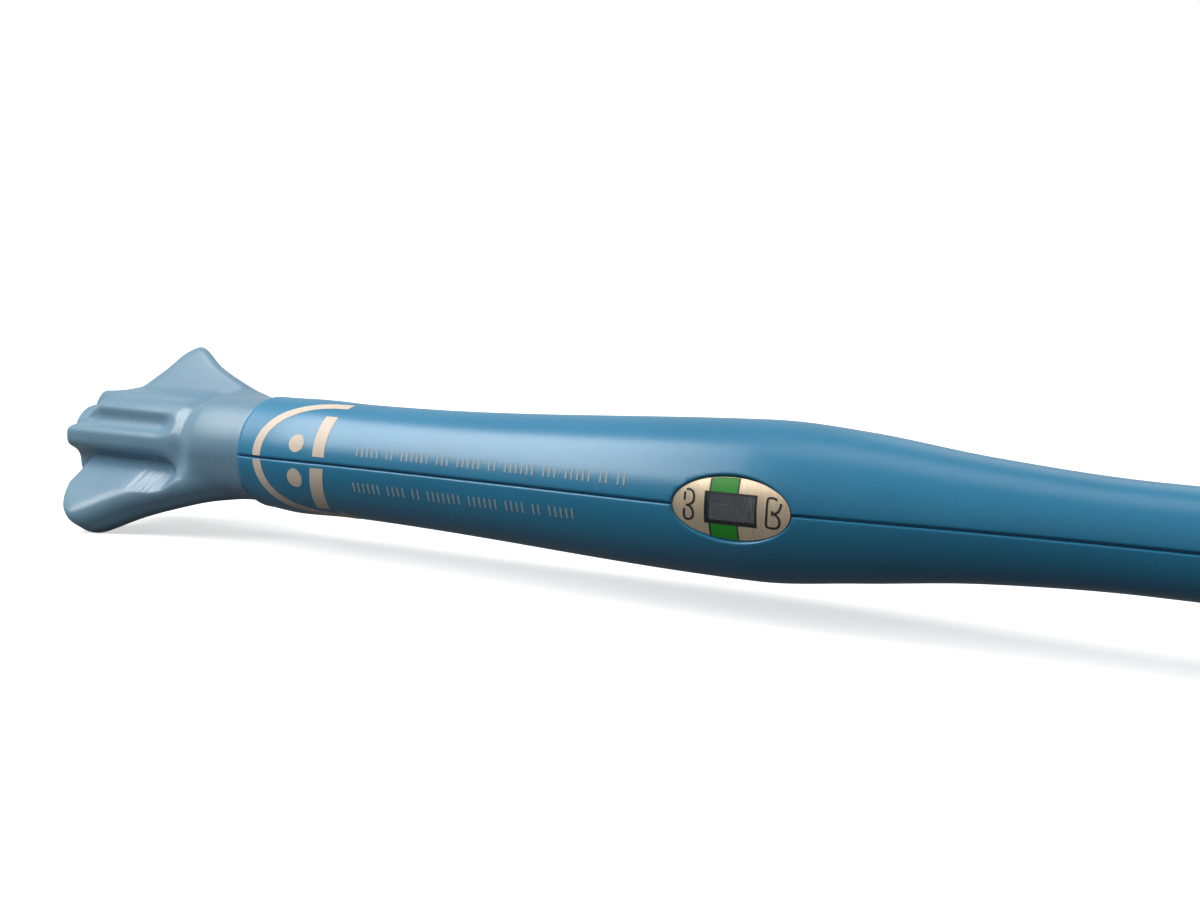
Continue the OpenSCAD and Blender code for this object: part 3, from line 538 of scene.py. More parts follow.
def casing_hollow():
    """What is turned inside the casing: its cavity, the bush seats and the nose bore."""
    points = [(CASING_X - 1, 0), (CASING_X - 1, TAIL_BORE), (CAVITY_X - 0.01, TAIL_BORE)]
    marks = {CAVITY_X + 2.0 * k for k in range(157)} | {s for seat in SEATS for s in seat[:2]}
    for x in sorted(marks):
        inner = max(casing_r(x) - WALL, 5.5)
        for start, stop, r in SEATS:
            if start < x < stop:
                inner = r
            elif x == start:
                points.append((x, inner))
                inner = r
            elif x == stop:
                points.append((x, r))
        points.append((x, inner))
    points += [(SEAL_X + 0.01, SEAL_BORE), (SHAFT_SEAT_X, SEAL_BORE),
               (SHAFT_SEAT_X + 0.01, SHAFT_BORE), (CASING_END + 1, SHAFT_BORE), (CASING_END + 1, 0)]
    return turned(points)


# Wall of the plate's pocket, as heights over the skin and how far the rim opens there
POCKET_WALL = [(-2, 0), (-1.3, 0), (-0.3, 0), (-0.18, 0.03), (-0.08, 0.1), (-0.02, 0.2),
               (0.05, 0.36), (0.6, 0.6), (1.5, 0.6)]
POCKET_GAP, POCKET_FLOOR = 0.03, PLATE_R - PLATE_T - 0.02


def window_recess():
    """Oval pocket of the indicator plate, with a rounded rim that follows the casing's skin."""
    count = 96

    def place(row, column):
        height, margin = POCKET_WALL[min(max(row - 1, 0), len(POCKET_WALL) - 1)]
        a = FULL_TURN * column / count
        if row in (0, len(POCKET_WALL) + 1):
            u = v = 0.0
        else:
            u = (PLATE_LEN / 2 + POCKET_GAP + margin) * math.cos(a)
            v = (PLATE_H / 2 + POCKET_GAP + margin) * math.sin(a)
        r = max(casing_r(WINDOW_X + u) + height, POCKET_FLOOR) if row > 1 else POCKET_FLOOR
        turn = math.asin(v / PLATE_R)
        return Vector((WINDOW_X + u, -r * math.cos(turn), r * math.sin(turn)))

    return woven(len(POCKET_WALL) + 1, count, place)


# Height of the handles' room over the parting plane, and of the pins' blind holes. The tools
# reach past the plane, to ROOM_BACK, so that they cut it cleanly.
ROOM_TOP, PIN_TOP, ROOM_BACK = 7.9, 10.12, -9
FORK_ROOM_X = (331.5, 346)
GRIP_SLOT_X, GRIP_SLOT_Y = 302, (10.1, 45)
EYE_ROOM_R = 7.4


def handle_room():
    """What both halves lose to the handles: their slots, the fork's room and the eyes."""
    tools = [block((FORK_ROOM_X[0], -PIVOT_Y, ROOM_BACK), (FORK_ROOM_X[1], PIVOT_Y, ROOM_TOP))]
    for side in (-1, 1):
        low, high = sorted(side * y for y in GRIP_SLOT_Y)
        tools.append(block((GRIP_SLOT_X, low, ROOM_BACK), (PIVOT_X, high, ROOM_TOP)))
        pivot = (PIVOT_X, side * PIVOT_Y)
        tools += [pillar(ROOM_BACK, ROOM_TOP, EYE_ROOM_R, pivot),
                  pillar(ROOM_BACK, PIN_TOP, PIN_BORE, pivot, 48)]
    return tools


SAFETY_SLOT = ((279.2, -2, 0.5), (290.8, 2, 14))


def housing(name, above):
    lens_hole = block((WINDOW_X - LENS_LEN / 2, -14, -LENS_H / 2),
                      (WINDOW_X + LENS_LEN / 2, 0, LENS_H / 2))
    tools = [casing_hollow(), window_recess(), lens_hole]
    for tool in handle_room():
        tools.append(tool if above else moved(tool, Matrix.Scale(-1, 4, (0, 0, 1))))
    if above:
        tools.append(block(*SAFETY_SLOT))
    for tool in tools:
        bmesh.ops.recalc_face_normals(tool, faces=tool.faces)
    finish_piece(carved(casing_half(above), tools), name, "housing", CASING_BLUE,
                 crease=40)


housing("upper_housing", True)
housing("lower_housing", False)

# ---------- print on the casing


def skin(x, arc, proud=0.0):
    """Point on the casing's skin, arc millimetres round from the seam at -Y, up if above zero."""
    r = casing_r(x) + proud
    turn = arc / casing_r(x)
    return Vector((x, -r * math.cos(turn), r * math.sin(turn) * half_height(x, arc > 0)))


PRINT_PROUD = 0.05


def patch(corners, rows=4, columns=12, proud=PRINT_PROUD, surface=skin):
    """Thin closed print between four curves: corners(s, t) gives x and arc for shares s and t."""

    def place(row, column):
        row %= 2 * rows + 2
        share = row / rows if row <= rows else (2 * rows + 1 - row) / rows
        x, arc = corners(share, column / columns)
        return surface(x, arc, proud if row <= rows else -PRINT_PROUD)

    mesh = woven(2 * rows + 2, columns, place)
    bmesh.ops.holes_fill(mesh, edges=[e for e in mesh.edges if e.is_boundary], sides=0)
    return tidied(mesh)


def joined(meshes):
    """Several shapes as one mesh."""
    whole = bmesh.new()
    for mesh in meshes:
        data = bpy.data.meshes.new("part")
        mesh.to_mesh(data)
        mesh.free()
        whole.from_mesh(data)
        bpy.data.meshes.remove(data)
    return whole


def bar(x0, x1, lean, arc0, arc1, rows=16):
    """Straight print from x0 to x1, drawn from arc0 to arc1 and leaning by lean on the way."""
    return patch(lambda s, t: (x0 + (x1 - x0) * t + lean * s, arc0 + (arc1 - arc0) * s), rows, 2)


def dot(x, arc, radius, count=32):
    """Round print, woven as rings that shrink to the centre."""

    def place(row, column):
        a = FULL_TURN * column / count
        ring = [0, 0.5, 1, 1, 0.5, 0][row]
        proud = PRINT_PROUD if row < 3 else -PRINT_PROUD
        return skin(x + radius * ring * math.cos(a), arc + radius * ring * math.sin(a), proud)

    return woven(5, count, place)


# The round arrow: its centre, half its length and height, its width, and the size of its point
ARC_X, ARC_MID, ARC_LEN, ARC_HALF, ARC_W = 71.0, 0.4, 15.6, 12.9, 2.0
POINT_LEN, POINT_W = 4.5, 4.8
STROKE_W, STROKE_H, STROKE_PITCH = 0.34, 1.7, 1.12


def turn_arrow(start, stop):
    """Band of the round arrow between two angles, measured from its front point."""

    def corners(s, t):
        a = math.radians(start + (stop - start) * t)
        grown = ARC_W * (s - 0.5)
        return ARC_X - (ARC_LEN + grown) * math.cos(a), ARC_MID + (ARC_HALF + grown) * math.sin(a)

    return patch(corners, rows=3, columns=40)


def arrow_head():
    """Plain point at the lower end of the round arrow."""
    arc = ARC_MID - ARC_HALF
    return patch(lambda s, t: (ARC_X + POINT_LEN * t, arc + POINT_W * (1 - t) * (s - 0.5)),
                 rows=6, columns=8)


def strokes_row(x0, x1, arc, counts):
    """Row of plain upright strokes in groups of the given counts, between two stations."""
    out, x, k = [], x0, 0
    while x < x1:
        for _ in range(counts[k % len(counts)]):
            if x < x1:
                out.append(bar(x, x + STROKE_W, 0, arc - STROKE_H / 2, arc + STROKE_H / 2, rows=3))
            x += STROKE_PITCH
        x += STROKE_PITCH
        k += 1
    return out


finish_piece(joined([
    turn_arrow(0.0, 92), turn_arrow(-90, -3.3), arrow_head(),
    dot(64.8, 3.4, 1.7), dot(64.4, -3.0, 1.7),
    bar(68.9, 71.6, -0.2, 1.2, 9.6), bar(68.4, 71.4, -1.8, -0.9, -9.6)
]), "turn_arrow_print", "housing", CREAM_INK, in_cad=False)
finish_piece(joined(
    strokes_row(79, 135.5, 2.9, (5, 2, 6, 3))
    + strokes_row(78, 125.6, -3.5, (6, 4, 2, 7))
), "guide_line_print", "housing", WORN_INK, in_cad=False)

# ---------- indicator window


def on_plate(x, arc, proud=0.0):
    r = PLATE_R + proud
    turn = arc / PLATE_R
    return Vector((x, -r * math.cos(turn), r * math.sin(turn)))


def oval_height(u):
    return PLATE_H / 2 * math.sqrt(max(1 - (2 * u / PLATE_LEN) ** 2, 0))


def window_plate():
    corner = math.atan2(LENS_H, LENS_LEN)
    marks = [corner, math.pi - corner, math.pi + corner, FULL_TURN - corner, FULL_TURN + corner]
    turns = [a + (b - a) * k / 24 for a, b in zip(marks, marks[1:]) for k in range(24)]
    turns.append(marks[-1])
    rings = 8

    def place(row, column):
        row %= 2 * rings + 2
        a = turns[column]
        c, s = math.cos(a), math.sin(a)
        inner = min(LENS_LEN / 2 / max(abs(c), 1e-9), LENS_H / 2 / max(abs(s), 1e-9))
        a_half, b_half = PLATE_LEN / 2, PLATE_H / 2
        outer = a_half * b_half / math.hypot(b_half * c, a_half * s)
        in_front = row <= rings
        share = row / rings if in_front else (2 * rings + 1 - row) / rings
        r = inner + (outer - inner) * share
        return on_plate(WINDOW_X + r * c, r * s, 0 if in_front else -PLATE_T)

    return woven(2 * rings + 2, len(turns) - 1, place)


finish_piece(window_plate(), "indicator_plate", "housing", FOIL, edge=0.08)

LENS_GAP, LENS_FACE, LENS_BACK = 0.02, -0.05, -0.75


def lens():
    half_l, half_h = LENS_LEN / 2 - LENS_GAP, LENS_H / 2 - LENS_GAP

    def surface(x, arc, proud):
        return on_plate(x, arc, LENS_FACE if proud > 0 else LENS_BACK)

    return patch(lambda s, t: (WINDOW_X + half_l * (2 * t - 1), half_h * (2 * s - 1)),
                 rows=8, columns=12, surface=surface)


finish_piece(lens(), "indicator_lens", "housing", CLEAR)

GREEN_FROM, GREEN_TO, GREEN_PROUD = -3.56, 1.12, 0.03
LINE_W, LINE_PROUD = 0.32, 0.05
FRAME_L, FRAME_H = 8.86, 4.9


def zone(u0, u1, side):
    """Print from the window's hole to the plate's edge, between two places along the plate."""
    start = LENS_H / 2

    def corners(s, t):
        u = u0 + (u1 - u0) * t
        edge = oval_height(u) - 0.1
        return WINDOW_X + u, side * (start + (edge - start) * s)

    return patch(corners, rows=6, columns=8, proud=GREEN_PROUD, surface=on_plate)


finish_piece(joined([zone(GREEN_FROM, GREEN_TO, side) for side in (-1, 1)]),
             "green_zone", "housing", GREEN_INK, in_cad=False)


def frame_line(u0, u1, v0, v1, rows, columns):
    """Straight line on the plate, from u0 to u1 along it and from v0 to v1 across it."""
    return patch(lambda s, t: (WINDOW_X + u0 + (u1 - u0) * t, v0 + (v1 - v0) * s),
                 rows, columns, LINE_PROUD, on_plate)


def stroke(points, width=0.34, steps=6):
    """Drawn line of even width through places on the plate, as a thin closed ribbon."""
    knots = [Vector(p) for p in points]
    line = []
    for i in range(len(knots) - 1):
        p0, p1 = knots[max(i - 1, 0)], knots[i]
        p2, p3 = knots[i + 1], knots[min(i + 2, len(knots) - 1)]
        for k in range(steps):
            t = k / steps
            line.append(0.5 * ((2 * p1) + (p2 - p0) * t + (2 * p0 - 5 * p1 + 4 * p2 - p3) * t ** 2
                               + (3 * p1 - p0 - 3 * p2 + p3) * t ** 3))
    line.append(knots[-1])

    def corners(s, t):
        k = min(round(t * (len(line) - 1)), len(line) - 1)
        ahead = line[min(k + 1, len(line) - 1)] - line[max(k - 1, 0)]
        side = Vector((-ahead.y, ahead.x)).normalized() if ahead.length else Vector((0, 1))
        p = line[k] + side * width * (s - 0.5)
        return p.x, p.y

    return patch(corners, rows=1, columns=len(line) - 1, proud=LINE_PROUD, surface=on_plate)


window_lines = []
for side in (-1, 1):
    u, v = side * (FRAME_L - LINE_W) / 2, side * (FRAME_H - LINE_W) / 2
    window_lines += [
        frame_line(-FRAME_L / 2, FRAME_L / 2, v - LINE_W / 2, v + LINE_W / 2, 1, 12),
        frame_line(u - LINE_W / 2, u + LINE_W / 2, -FRAME_H / 2, FRAME_H / 2, 16, 1)
    ]
    for edge in (GREEN_FROM, GREEN_TO):
        window_lines.append(zone(edge - LINE_W / 2, edge + LINE_W / 2, side))

# A formed staple drawn in outline: loosely formed on the left, tightly formed on the right
LOOSE_STAPLE = [
    [(-0.75, 0.75), (-0.72, 1.3), (-0.7, 2.0)],
    [(-0.5, 2.35), (0.1, 2.4), (0.7, 2.0), (0.9, 1.2), (0.7, 0.5), (0.0, 0.05), (-0.45, 0.0)],
    [(-0.1, 0.0), (0.5, -0.4), (0.75, -1.1), (0.65, -1.75), (0.2, -2.12), (-0.45, -2.12),
     (-0.8, -1.75), (-0.82, -1.1), (-0.75, -0.55)]
]
TIGHT_STAPLE = [
    [(0.6, 2.0), (0.2, 2.25), (-0.6, 2.25), (-0.92, 1.9), (-0.98, 0.0), (-1.08, -1.8),
     (-0.8, -2.12), (0.3, -2.18), (1.0, -1.8), (1.12, -0.95), (0.75, -0.35), (0.1, -0.02),
     (-0.2, -0.25)],
    [(-0.2, 0.35), (0.1, 0.02), (0.3, 0.0), (0.95, 0.4), (1.25, 1.1), (1.32, 1.6)]
]
LOOSE_X, TIGHT_X = 146.9, 161.1
for strokes, centre in ((LOOSE_STAPLE, LOOSE_X), (TIGHT_STAPLE, TIGHT_X)):
    window_lines += [stroke([(centre + u, v) for u, v in points]) for points in strokes]
finish_piece(joined(window_lines), "window_line_print", "housing", BLACK_INK,
             in_cad=False)

# ---------- wing nut

# Outline of a wing as x and reach, and the hub's radius along x
WING = [
    (0, 7.05), (2.0, 9.8), (4.9, 11.8), (7.9, 16.2), (10.1, 20.4), (12.5, 22.5), (14.3, 22.8),
    (16.6, 21.9), (23.0, 18.1), (31.0, 14.7), (39.0, 11.8), (45, 9.6)
]
HUB = [(0, 8.3), (1.5, 8.6), (6.8, 8.8), (30.0, 8.6), (33.0, 8.2), (34.4, 8.5),
       (36.2, 9.5), (38, 9.75), (50, 9.6)]
WING_TURN = math.radians(46)
WING_T, WING_EDGE, WING_FILLET = 6.4, 2.6, 3.0
# The wings are pitched a little, as a propeller's are, and the ribs between them end at a slant:
# SLANT_MID is where round the nut that is deepest
PITCH, PITCH_REACH = 0.9, 3.5
RIB_SLANT, SLANT_LEN, SLANT_MID = 5.2, 8.5, math.radians(80)
# Flutes as degrees from the wing, distance and radius of their axis, and roundness of their lips
FLUTES = ((106, 9.2, 2.0, 1.5), (53, 9.4, 1.9, 1.2), (168, 10.2, 3.5, 1.8))
FLUTE_LEN, CAP_WALL = 26, 5.6
TAIL_ROUND, COLLAR_ROUND = 1.6, 0.4
# The cap's seat, the screw's head and shank, and the room for the sleeve
NUT_BORE = [(-1, 0), (-1, 5.02), (1.62, 5.02), (1.62, 3.45), (4.3, 3.45), (4.3, 1.65),
            (7.98, 1.65), (7.98, 6.02), (51, 6.02), (51, 0)]


def nut_mesh():
    """The nut's skin, found along rays from its axis, with its bore cut out."""
    xs = [0, 0.05, 0.2, 0.45, 0.75, 1.1] + [1.6 + 0.4 * k for k in range(120)] + [49.6, 49.85, 50]
    fine = [-18 + 0.75 * k for k in range(49)]
    wide = [18.75 + 1.25 * k for k in range(114)]
    turns = [math.radians(t + half) for half in (0, 180) for t in fine + wide]
    turns.append(turns[0] + FULL_TURN)
    x = np.array(xs, float)[:, None]
    turn = np.array(turns, float)[None, :]
    hub = np.array([flow(HUB, v) for v in xs])[:, None]
    along = np.linspace(-4, 54, 1161)
    edge = np.array([flow(WING, v) if v > 0 else WING[0][1] + 6 * v for v in along])
    lean = 1 / np.sqrt(1 + np.gradient(edge, along) ** 2)

    def distance(radius):
        u, v = radius * np.cos(turn), radius * np.sin(turn)
        station = x - PITCH * np.clip(v * np.sign(u), -PITCH_REACH, PITCH_REACH)
        outer = (np.abs(u) - np.interp(station, along, edge)) * np.interp(station, along, lean)
        blade = rounded_slab(outer, np.abs(v) - WING_T / 2, WING_EDGE)
        whole = smooth_min(radius - hub, blade, WING_FILLET)
        past = 0.6 * np.maximum(x - FLUTE_LEN, 0)
        for centre, far, flute_r, lip in FLUTES:
            for half in (0, 180):
                a = math.radians(centre + half)
                across = np.hypot(u - math.cos(a) * far, v - math.sin(a) * far)
                whole = smooth_max(whole, flute_r - np.hypot(across, past), lip)
        return whole

    reach = reach_of(distance, outer=27.0, inner=4.0)

    def place(row, column):
        i = min(max(row - 1, 0), len(xs) - 1)
        if row in (0, len(xs) + 1):
            return Vector((xs[i], 0, 0))
        a = turns[column] + WING_TURN
        slant = max(math.cos(2 * (turns[column] - SLANT_MID)), 0) ** 1.5
        r = reach[i][column] - eased(xs[i], TAIL_ROUND) - eased(NUT_LEN - xs[i], COLLAR_ROUND)
        r = max(r - RIB_SLANT * slant * max(1 - xs[i] / SLANT_LEN, 0) ** 1.3, CAP_WALL)
        return Vector((xs[i], r * math.cos(a), r * math.sin(a)))

    return carved(woven(len(xs) + 1, len(turns) - 1, place), [turned(NUT_BORE)])


finish_piece(nut_mesh(), "wing_nut", "nut", NUT_BLUE, crease=40)
finish_piece(turned(rounded_profile([(1.6, 0, 0), (1.6, 4.97, 0), (0, 4.97, 1), (0, 0, 0)], 0.5)),
             "nut_cap", "nut", NUT_BLUE)

# ---------- handles

SQUEEZE = math.radians(22)
EYE_R, HANDLE_HALF = 7, 7.5
GRIP_START, HANDLE_LEN, GRIP_W, GRIP_BOW = 10, 97, 11, 3
GRIP_ROUND, TIP_LEN, RIB_PITCH, RIB_DEPTH = 0.62, 5.5, 5.5, 0.35
# Arms of the fork that presses the collar: their length, and the heights between which they lie
ARM_LEN, ARM_R, ARM_IN, ARM_OUT = 13.2, 1.5, 5.6, 7.5


def grip_half(t):
    return GRIP_W / 2 * (0.62 + 0.38 * math.sin(math.radians(min(162 * t + 20, 180))))


def handle_mesh():
    """Handle drawn squeezed about its pivot at the origin, pointing towards -X."""
    length = HANDLE_LEN - GRIP_START
    xs = [0, -3, -6, -8, -10] + [-10 - 1.2 * k for k in range(1, 68)]
    xs += [-HANDLE_LEN + TIP_LEN * (1 - math.sin(math.radians(a))) for a in range(0, 91, 10)]
    count = 48

    def place(row, column):
        x = xs[min(max(row - 1, 0), len(xs) - 1)]
        t = max((-x - GRIP_START) / length, 0)
        centre = GRIP_BOW * math.sin(math.pi * t)
        if row in (0, len(xs) + 1):
            return Vector((x, centre, 0))
        end = min((x + HANDLE_LEN) / TIP_LEN, 1)
        share = math.sqrt(max(1 - (1 - end) ** 2, 0.0009))
        a = FULL_TURN * column / count
        c, s = math.cos(a), math.sin(a)
        half = grip_half(t)
        y = half * share * math.copysign(abs(c) ** GRIP_ROUND, c)
        z = HANDLE_HALF * share * math.copysign(abs(s) ** GRIP_ROUND, s)
        # finger ribs on the outer side, fading out at both ends of the grip
        fade = max(math.sin(math.pi * min(max((t - 0.22) / 0.66, 0), 1)), 0) ** 0.5
        wave = (math.cos(FULL_TURN * x / RIB_PITCH) - 1) / 2
        rib = RIB_DEPTH * fade * max(c, 0) ** 0.4 * wave
        return Vector((x, centre + y + rib, z))

    grip = woven(len(xs) + 1, count, place)
    eye = upright(turned(rounded_profile(
        [(-HANDLE_HALF, 0, 0), (-HANDLE_HALF, EYE_R, 1), (HANDLE_HALF, EYE_R, 1),
         (HANDLE_HALF, 0, 0)], 0.8)))
    parts = [eye]
    for low, high in ((ARM_IN, ARM_OUT), (-ARM_OUT, -ARM_IN)):
        arm = block((-2.6, -ARM_LEN, low), (0.2, -3.5, high))
        for part in (arm, pillar(low, high, ARM_R, (0, -ARM_LEN), 32)):
            parts.append(moved(part, Matrix.Rotation(SQUEEZE / 2, 4, "Z")))
    whole = carved(grip, parts, "UNION")
    return carved(whole, [pillar(-9, 9, 2.05, steps=48)])


OPENED = Matrix.Translation((PIVOT_X, PIVOT_Y, 0)) @ Matrix.Rotation(-SQUEEZE, 4, "Z")
for name, side in (("left_handle", 1), ("right_handle", -1)):
    lever = moved(handle_mesh(), OPENED)
    if side < 0:
        moved(lever, Matrix.Scale(-1, 4, (0, 1, 0)))
    finish_piece(lever, name, name, HANDLE_BLUE)

# ---------- safety button

finish_piece(cad_copy("safety_slider"), "safety_slider", "safety", SAFETY_RED,
             edge=0.3)

# ---------- shaft

SHAFT_X, BEND_X, BEND_R, BEND, END_STRAIGHT = 366.6, 404, 180, math.radians(38), 62
SHAFT_R, SHAFT_WALL = 6.4, 0.8
DISTAL = (Matrix.Translation((BEND_X, BEND_R, 0)) @ Matrix.Rotation(BEND, 4, "Z")
          @ Matrix.Translation((END_STRAIGHT, -BEND_R, 0)))


def distal(mesh):
    """Moves a shape drawn from the staple face to its place at the end of the shaft."""
    return moved(mesh, DISTAL)


def bent_tube():
    """Tube that runs straight out of the nose and then round the bend."""
    mesh = bmesh.new()
    bmesh.ops.create_circle(mesh, segments=96, radius=SHAFT_R)
    moved(mesh, Matrix.Translation((SHAFT_X, 0, 0)) @ Matrix.Rotation(math.pi / 2, 4, "Y"))
    grown = bmesh.ops.extrude_edge_only(mesh, edges=mesh.edges[:])["geom"]
    front = [g for g in grown if isinstance(g, bmesh.types.BMVert)]
    bmesh.ops.translate(mesh, vec=(BEND_X - SHAFT_X, 0, 0), verts=front)
    edge = [g for g in grown if isinstance(g, bmesh.types.BMEdge)]
    bmesh.ops.spin(mesh, geom=front + edge, axis=(0, 0, 1), cent=(BEND_X, BEND_R, 0),
                   angle=BEND, steps=64, use_merge=False)
    tidied(mesh)
    bmesh.ops.solidify(mesh, geom=mesh.faces[:] + mesh.edges[:] + mesh.verts[:],
                       thickness=SHAFT_WALL)
    return mesh


finish_piece(bent_tube(), "shaft_tube", "housing", SHAFT_STEEL)
END_TUBE = [(-END_STRAIGHT, SHAFT_R), (-27, SHAFT_R), (-27, SHAFT_R - SHAFT_WALL),
            (-END_STRAIGHT, SHAFT_R - SHAFT_WALL), (-END_STRAIGHT, SHAFT_R)]
finish_piece(distal(turned(END_TUBE)), "shaft_end_tube", "housing", SHAFT_STEEL)
finish_piece(turned(rounded_profile([
    (378.02, SHAFT_BORE, 0), (378.02, 8.1, 0.5), (380, 8.1, 1), (384, 7.2, 1),
    (384, SHAFT_BORE, 0), (378.02, SHAFT_BORE, 0)
], 0.8)), "shaft_ferrule", "housing", STEEL)

# ---------- head

HEAD_R, NECK_R = 15.5, 7.6
CONE = [(-34, NECK_R), (-26.28, 12.71), (-18, HEAD_R)]
HEAD_BACK, CORE_BACK, CORE_R, DRIVER_BACK = -36, -26.98, 9, -16.74
# The head's front rim, as x and how far it draws in
FRONT_RIM = [(-1.0, 0), (-0.75, 0.03), (-0.5, 0.1), (-0.25, 0.22), (-0.08, 0.36), (0, 0.5)]


def head_mesh():
    """The head's shell, drawn from the staple face at x = 0."""
    outer = [(HEAD_BACK, SHAFT_BORE), (HEAD_BACK, NECK_R - 0.5), (HEAD_BACK + 0.15, NECK_R - 0.15),
             (HEAD_BACK + 0.5, NECK_R)]
    outer += [(x, flow(CONE, x)) for x in (-34 + 16 * k / 24 for k in range(25))]
    outer += [(x, HEAD_R - drawn) for x, drawn in FRONT_RIM]
    outer += [(0, DRIVER_BORE), (DRIVER_BACK, DRIVER_BORE), (DRIVER_BACK, CORE_R),
              (CORE_BACK, CORE_R), (CORE_BACK, SHAFT_BORE), (HEAD_BACK, SHAFT_BORE)]
    return turned(outer, 128)


finish_piece(distal(head_mesh()), "head_shell", "housing", CASING_BLUE)
finish_piece(cad_copy("staple_guide"), "staple_guide", "housing", GUIDE_WHITE,
             edge=0.06)

# ---------- anvil

ANVIL_X, ANVIL_R, ANVIL_H, RIM = 25.5, 15.2, 9, 2.52
STAPLE_RINGS, STAPLES, POCKET_HALF, POCKET_DEEP = (13.5, 11.5), 16, 1.8, 0.5
CROSS_PIN_X, CROSS_PIN_HALF, CROSS_PIN_R = ANVIL_X + 3, 6.42, 0.82
# Face of the anvil, as depth and radius: the shaft's seat, the backup ring's groove and the rim
ANVIL_FACE = [(6.02, 0), (6.02, 4.22), (0.15, 4.22), (0, 4.35), (0, 8.6), (0.1, 8.7), (4.6, 8.7),
              (4.6, 10.3), (0.1, 10.3), (0, 10.4), (0, 14.8), (0.05, 15.0), (0.2, 15.15),
              (0.45, 15.2)]


def anvil_mesh():
    """The anvil's domed head with its two rings of staple pockets and the cross pin's hole."""
    outline = [(ANVIL_X + depth, r) for depth, r in ANVIL_FACE]
    for a in (math.radians(t) for t in range(0, 90, 3)):
        outline.append((ANVIL_X + RIM + (ANVIL_H - RIM) * math.sin(a), ANVIL_R * math.cos(a)))
    outline.append((ANVIL_X + ANVIL_H, 0))
    cuts = []
    for ring, radius in enumerate(STAPLE_RINGS):
        for k in range(STAPLES):
            pocket = block((ANVIL_X - 1, -POCKET_HALF, radius - 0.5),
                           (ANVIL_X + POCKET_DEEP, POCKET_HALF, radius + 0.5))
            turn = FULL_TURN / STAPLES * (k + ring / 2)
            cuts.append(moved(pocket, Matrix.Rotation(turn, 4, "X")))
    cuts.append(pillar(-CROSS_PIN_HALF, CROSS_PIN_HALF, CROSS_PIN_R, (CROSS_PIN_X, 0), 32))
    return carved(turned(outline, 128), [joined(cuts)])


finish_piece(distal(anvil_mesh()), "anvil_head", "anvil", ANVIL_STEEL)
finish_piece(cad_copy("anvil_shaft"), "anvil_shaft", "anvil", ANVIL_STEEL, edge=0.05)
finish_piece(distal(turned(rounded_profile([
    (9.5, 0, 0), (9.5, 1.2, 0), (13.5, 1.2, 0), (17.5, 3, 0.4), (22, 0.3, 1), (22, 0, 0)
], 0.3))), "trocar_tip", "retainer", ACETAL)

# ---------- wound and threaded pieces


def coil(x0, x1, coil_r, wire_r, turns, steps=36, sides=12):
    """Wire wound round the X axis, closed at both ends."""
    mesh = bmesh.new()
    bmesh.ops.create_circle(mesh, segments=sides, radius=wire_r, cap_ends=True)
    bmesh.ops.translate(mesh, vec=(x0, coil_r, 0), verts=mesh.verts)
    bmesh.ops.spin(mesh, geom=mesh.verts[:] + mesh.edges[:] + mesh.faces[:], axis=(1, 0, 0),
                   cent=(0, 0, 0), dvec=((x1 - x0) / (turns * steps), 0, 0),
                   angle=FULL_TURN * turns, steps=turns * steps, use_merge=False)
    return mesh


# Where the spring bears: the collar's front face, whose rear face the arms press, and the seat
COLLAR_X = PIVOT_X - ARM_LEN * math.sin(SQUEEZE / 2) + 1.8 + 3
SEAT_X, COIL_R, WIRE_R = 362.2, 6.05, 0.55
spring = finish_piece(coil(COLLAR_X + 0.6, SEAT_X, COIL_R, WIRE_R, 7), "return_spring", "housing",
                      SPRING_STEEL)
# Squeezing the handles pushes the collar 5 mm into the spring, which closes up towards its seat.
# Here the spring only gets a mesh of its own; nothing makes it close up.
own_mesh(spring)

# ---------- CAD nodes that stay

STAY = {
    "nut_screw": STEEL, "drive_sleeve": BLACK_STEEL, "retaining_ring": SPRING_STEEL,
    "rear_bush": ACETAL, "front_bush": ACETAL, "lead_screw": STEEL, "pull_rod": STEEL,
    "rod_rivet": STEEL, "guide_pin": STEEL, "rod_guide": ACETAL, "indicator_carriage": ACETAL,
    "indicator_flag": FLAG_ORANGE, "housing_pins": STEEL, "handle_pivots": STEEL,
    "proximal_pusher": ACETAL, "spring_seat": STEEL, "shaft_seal": SEAL_RUBBER,
    "flex_band": SPRING_STEEL, "curved_pusher": ACETAL, "distal_pusher": ACETAL,
    "staple_pusher": ACETAL, "circular_knife": STEEL, "staples": TITANIUM,
    "anvil_retainer": ANVIL_STEEL, "seating_band": BAND_ORANGE, "backup_ring": ACETAL,
    "anvil_pin": STEEL
}
for name, finish in STAY.items():
    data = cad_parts[name].data
    data.materials.clear()
    data.materials.append(finish)

# ---------- floor, light and camera

FLOOR_Z = min(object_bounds()[0].z, -0.0005)


def maths(tree, operation, a, b):
    return add_node(tree, "ShaderNodeMath", {0: a, 1: b}, operation=operation).outputs[0]


def direct_rays(tree, in_gloss):
    """1 for the camera's rays and those through glass, in_gloss for those that gloss reflects."""
    rays = add_node(tree, "ShaderNodeLightPath").outputs
    straight = maths(tree, "MAXIMUM", rays["Is Camera Ray"], rays["Is Transmission Ray"])
    gloss = maths(tree, "MULTIPLY", rays["Is Glossy Ray"], in_gloss)
    return maths(tree, "MAXIMUM", straight, gloss)


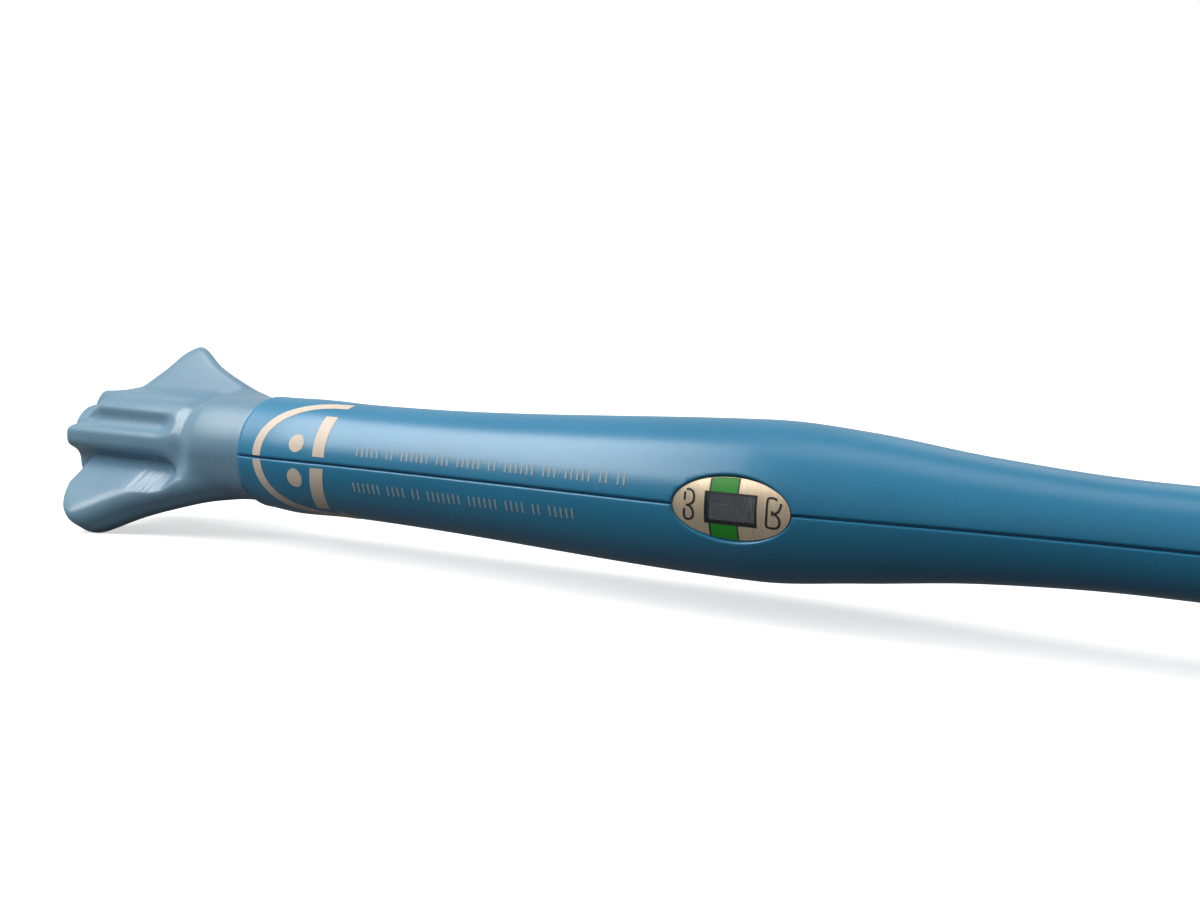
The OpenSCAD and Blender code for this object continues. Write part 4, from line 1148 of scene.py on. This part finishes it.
def floor_paper():
    """White paper sweep: matt, with the faint tooth of the sheet. The camera sees it white. In
    gloss and in its bounce on to the object it is that of darker paper."""
    material, tree, shader = finish_of("white_paper_floor", 0.9)
    direct = direct_rays(tree, 0.14)
    tooth = noise(tree, 1.5, Detail=2.0)
    paper = mix_colours(tree, spread(tree, tooth), linear("#fbfbfb"), linear("#ffffff"))
    tree.links.new(mix_colours(tree, direct, linear("#2c3238"), paper), shader.inputs["Base Color"])
    # a weak glow under the object, where its shadow lies, that rises to plain white further out
    place = add_node(tree, "ShaderNodeTexCoord")
    away = add_node(tree, "ShaderNodeVectorMath",
                    {0: place.outputs["Object"], 1: (0.3, 0.02, 0)}, operation="DISTANCE")
    fade = add_node(tree, "ShaderNodeMapRange", {
        "Value": away.outputs["Value"], "From Min": 0.42, "From Max": 0.9, "To Min": 0.55,
        "To Max": 1.0
    }, interpolation_type="SMOOTHSTEP")
    glow = maths(tree, "MULTIPLY", fade.outputs["Result"], direct)
    shader.inputs["Emission Color"].default_value = (1, 1, 1, 1)
    tree.links.new(glow, shader.inputs["Emission Strength"])
    return material


sheet = bmesh.new()
bmesh.ops.create_grid(sheet, x_segments=2, y_segments=2, size=6)
bmesh.ops.translate(sheet, vec=(0.3, 0, FLOOR_Z), verts=sheet.verts)
floor = lone_object(sheet, "floor")
floor.data.materials.append(floor_paper())

world = bpy.data.worlds.new("studio")
bpy.context.scene.world = world
world.use_nodes = True
sky = world.node_tree
sky.nodes.clear()
level = add_node(sky, "ShaderNodeMapRange",
                 {"Value": direct_rays(sky, 0.5), "To Min": 0.2, "To Max": 1.0})
backdrop = add_node(sky, "ShaderNodeBackground",
                    {"Color": (1, 1, 1, 1), "Strength": level.outputs["Result"]})
add_node(sky, "ShaderNodeOutputWorld", {"Surface": backdrop.outputs[0]})


def softbox(name, place, target, size, power):
    """Soft lamp aimed from a place at a target, in metres and watts. Its second side stands
    square to the casing, which draws the highlight out along the casing."""
    data = bpy.data.lights.new(name, "AREA")
    data.shape = "RECTANGLE"
    data.size, data.size_y = size
    data.energy = power
    lamp = bpy.data.objects.new(name, data)
    away = (Vector(place) - Vector(target)).normalized()
    tall = away.cross(Vector((1, 0, 0))).normalized()
    axes = Matrix((tall.cross(away), tall, away)).transposed().to_4x4()
    lamp.matrix_world = Matrix.Translation(place) @ axes
    bpy.context.scene.collection.objects.link(lamp)


softbox("key_by_tail", (-0.22, -0.215, 0.345), (0.1, 0, 0), (0.17, 0.52), 2.6)
softbox("fill_behind", (0.3, 0.5, 0.42), (0.3, 0, 0), (0.7, 0.3), 0.5)
softbox("top_long", (0.35, -0.02, 0.8), (0.3, 0, 0), (1.1, 0.4), 2.5)

# The camera that fits the photograph, as angles and a place
AZIMUTH, ELEVATION, ROLL = math.radians(33), math.radians(6.319), math.radians(1.042)
CAMERA_PLACE = Vector((271.4, -228.65, 35.72)) * MM
back = Vector((math.sin(AZIMUTH) * math.cos(ELEVATION),
               -math.cos(AZIMUTH) * math.cos(ELEVATION), math.sin(ELEVATION)))
right = Vector((math.cos(AZIMUTH), math.sin(AZIMUTH), 0))
up = back.cross(right)
tilted_right = right * math.cos(ROLL) + up * math.sin(ROLL)
tilted_up = up * math.cos(ROLL) - right * math.sin(ROLL)
lens_data = bpy.data.cameras.new("camera")
lens_data.lens, lens_data.sensor_width = 50, 36
lens_data.clip_start, lens_data.clip_end = 0.01, 50
camera = bpy.data.objects.new("camera", lens_data)
camera.matrix_world = Matrix.Translation(CAMERA_PLACE) @ Matrix(
    (tilted_right, tilted_up, back)).transposed().to_4x4()
bpy.context.scene.collection.objects.link(camera)
bpy.context.scene.camera = camera
bpy.context.scene.view_settings.view_transform = "Standard"
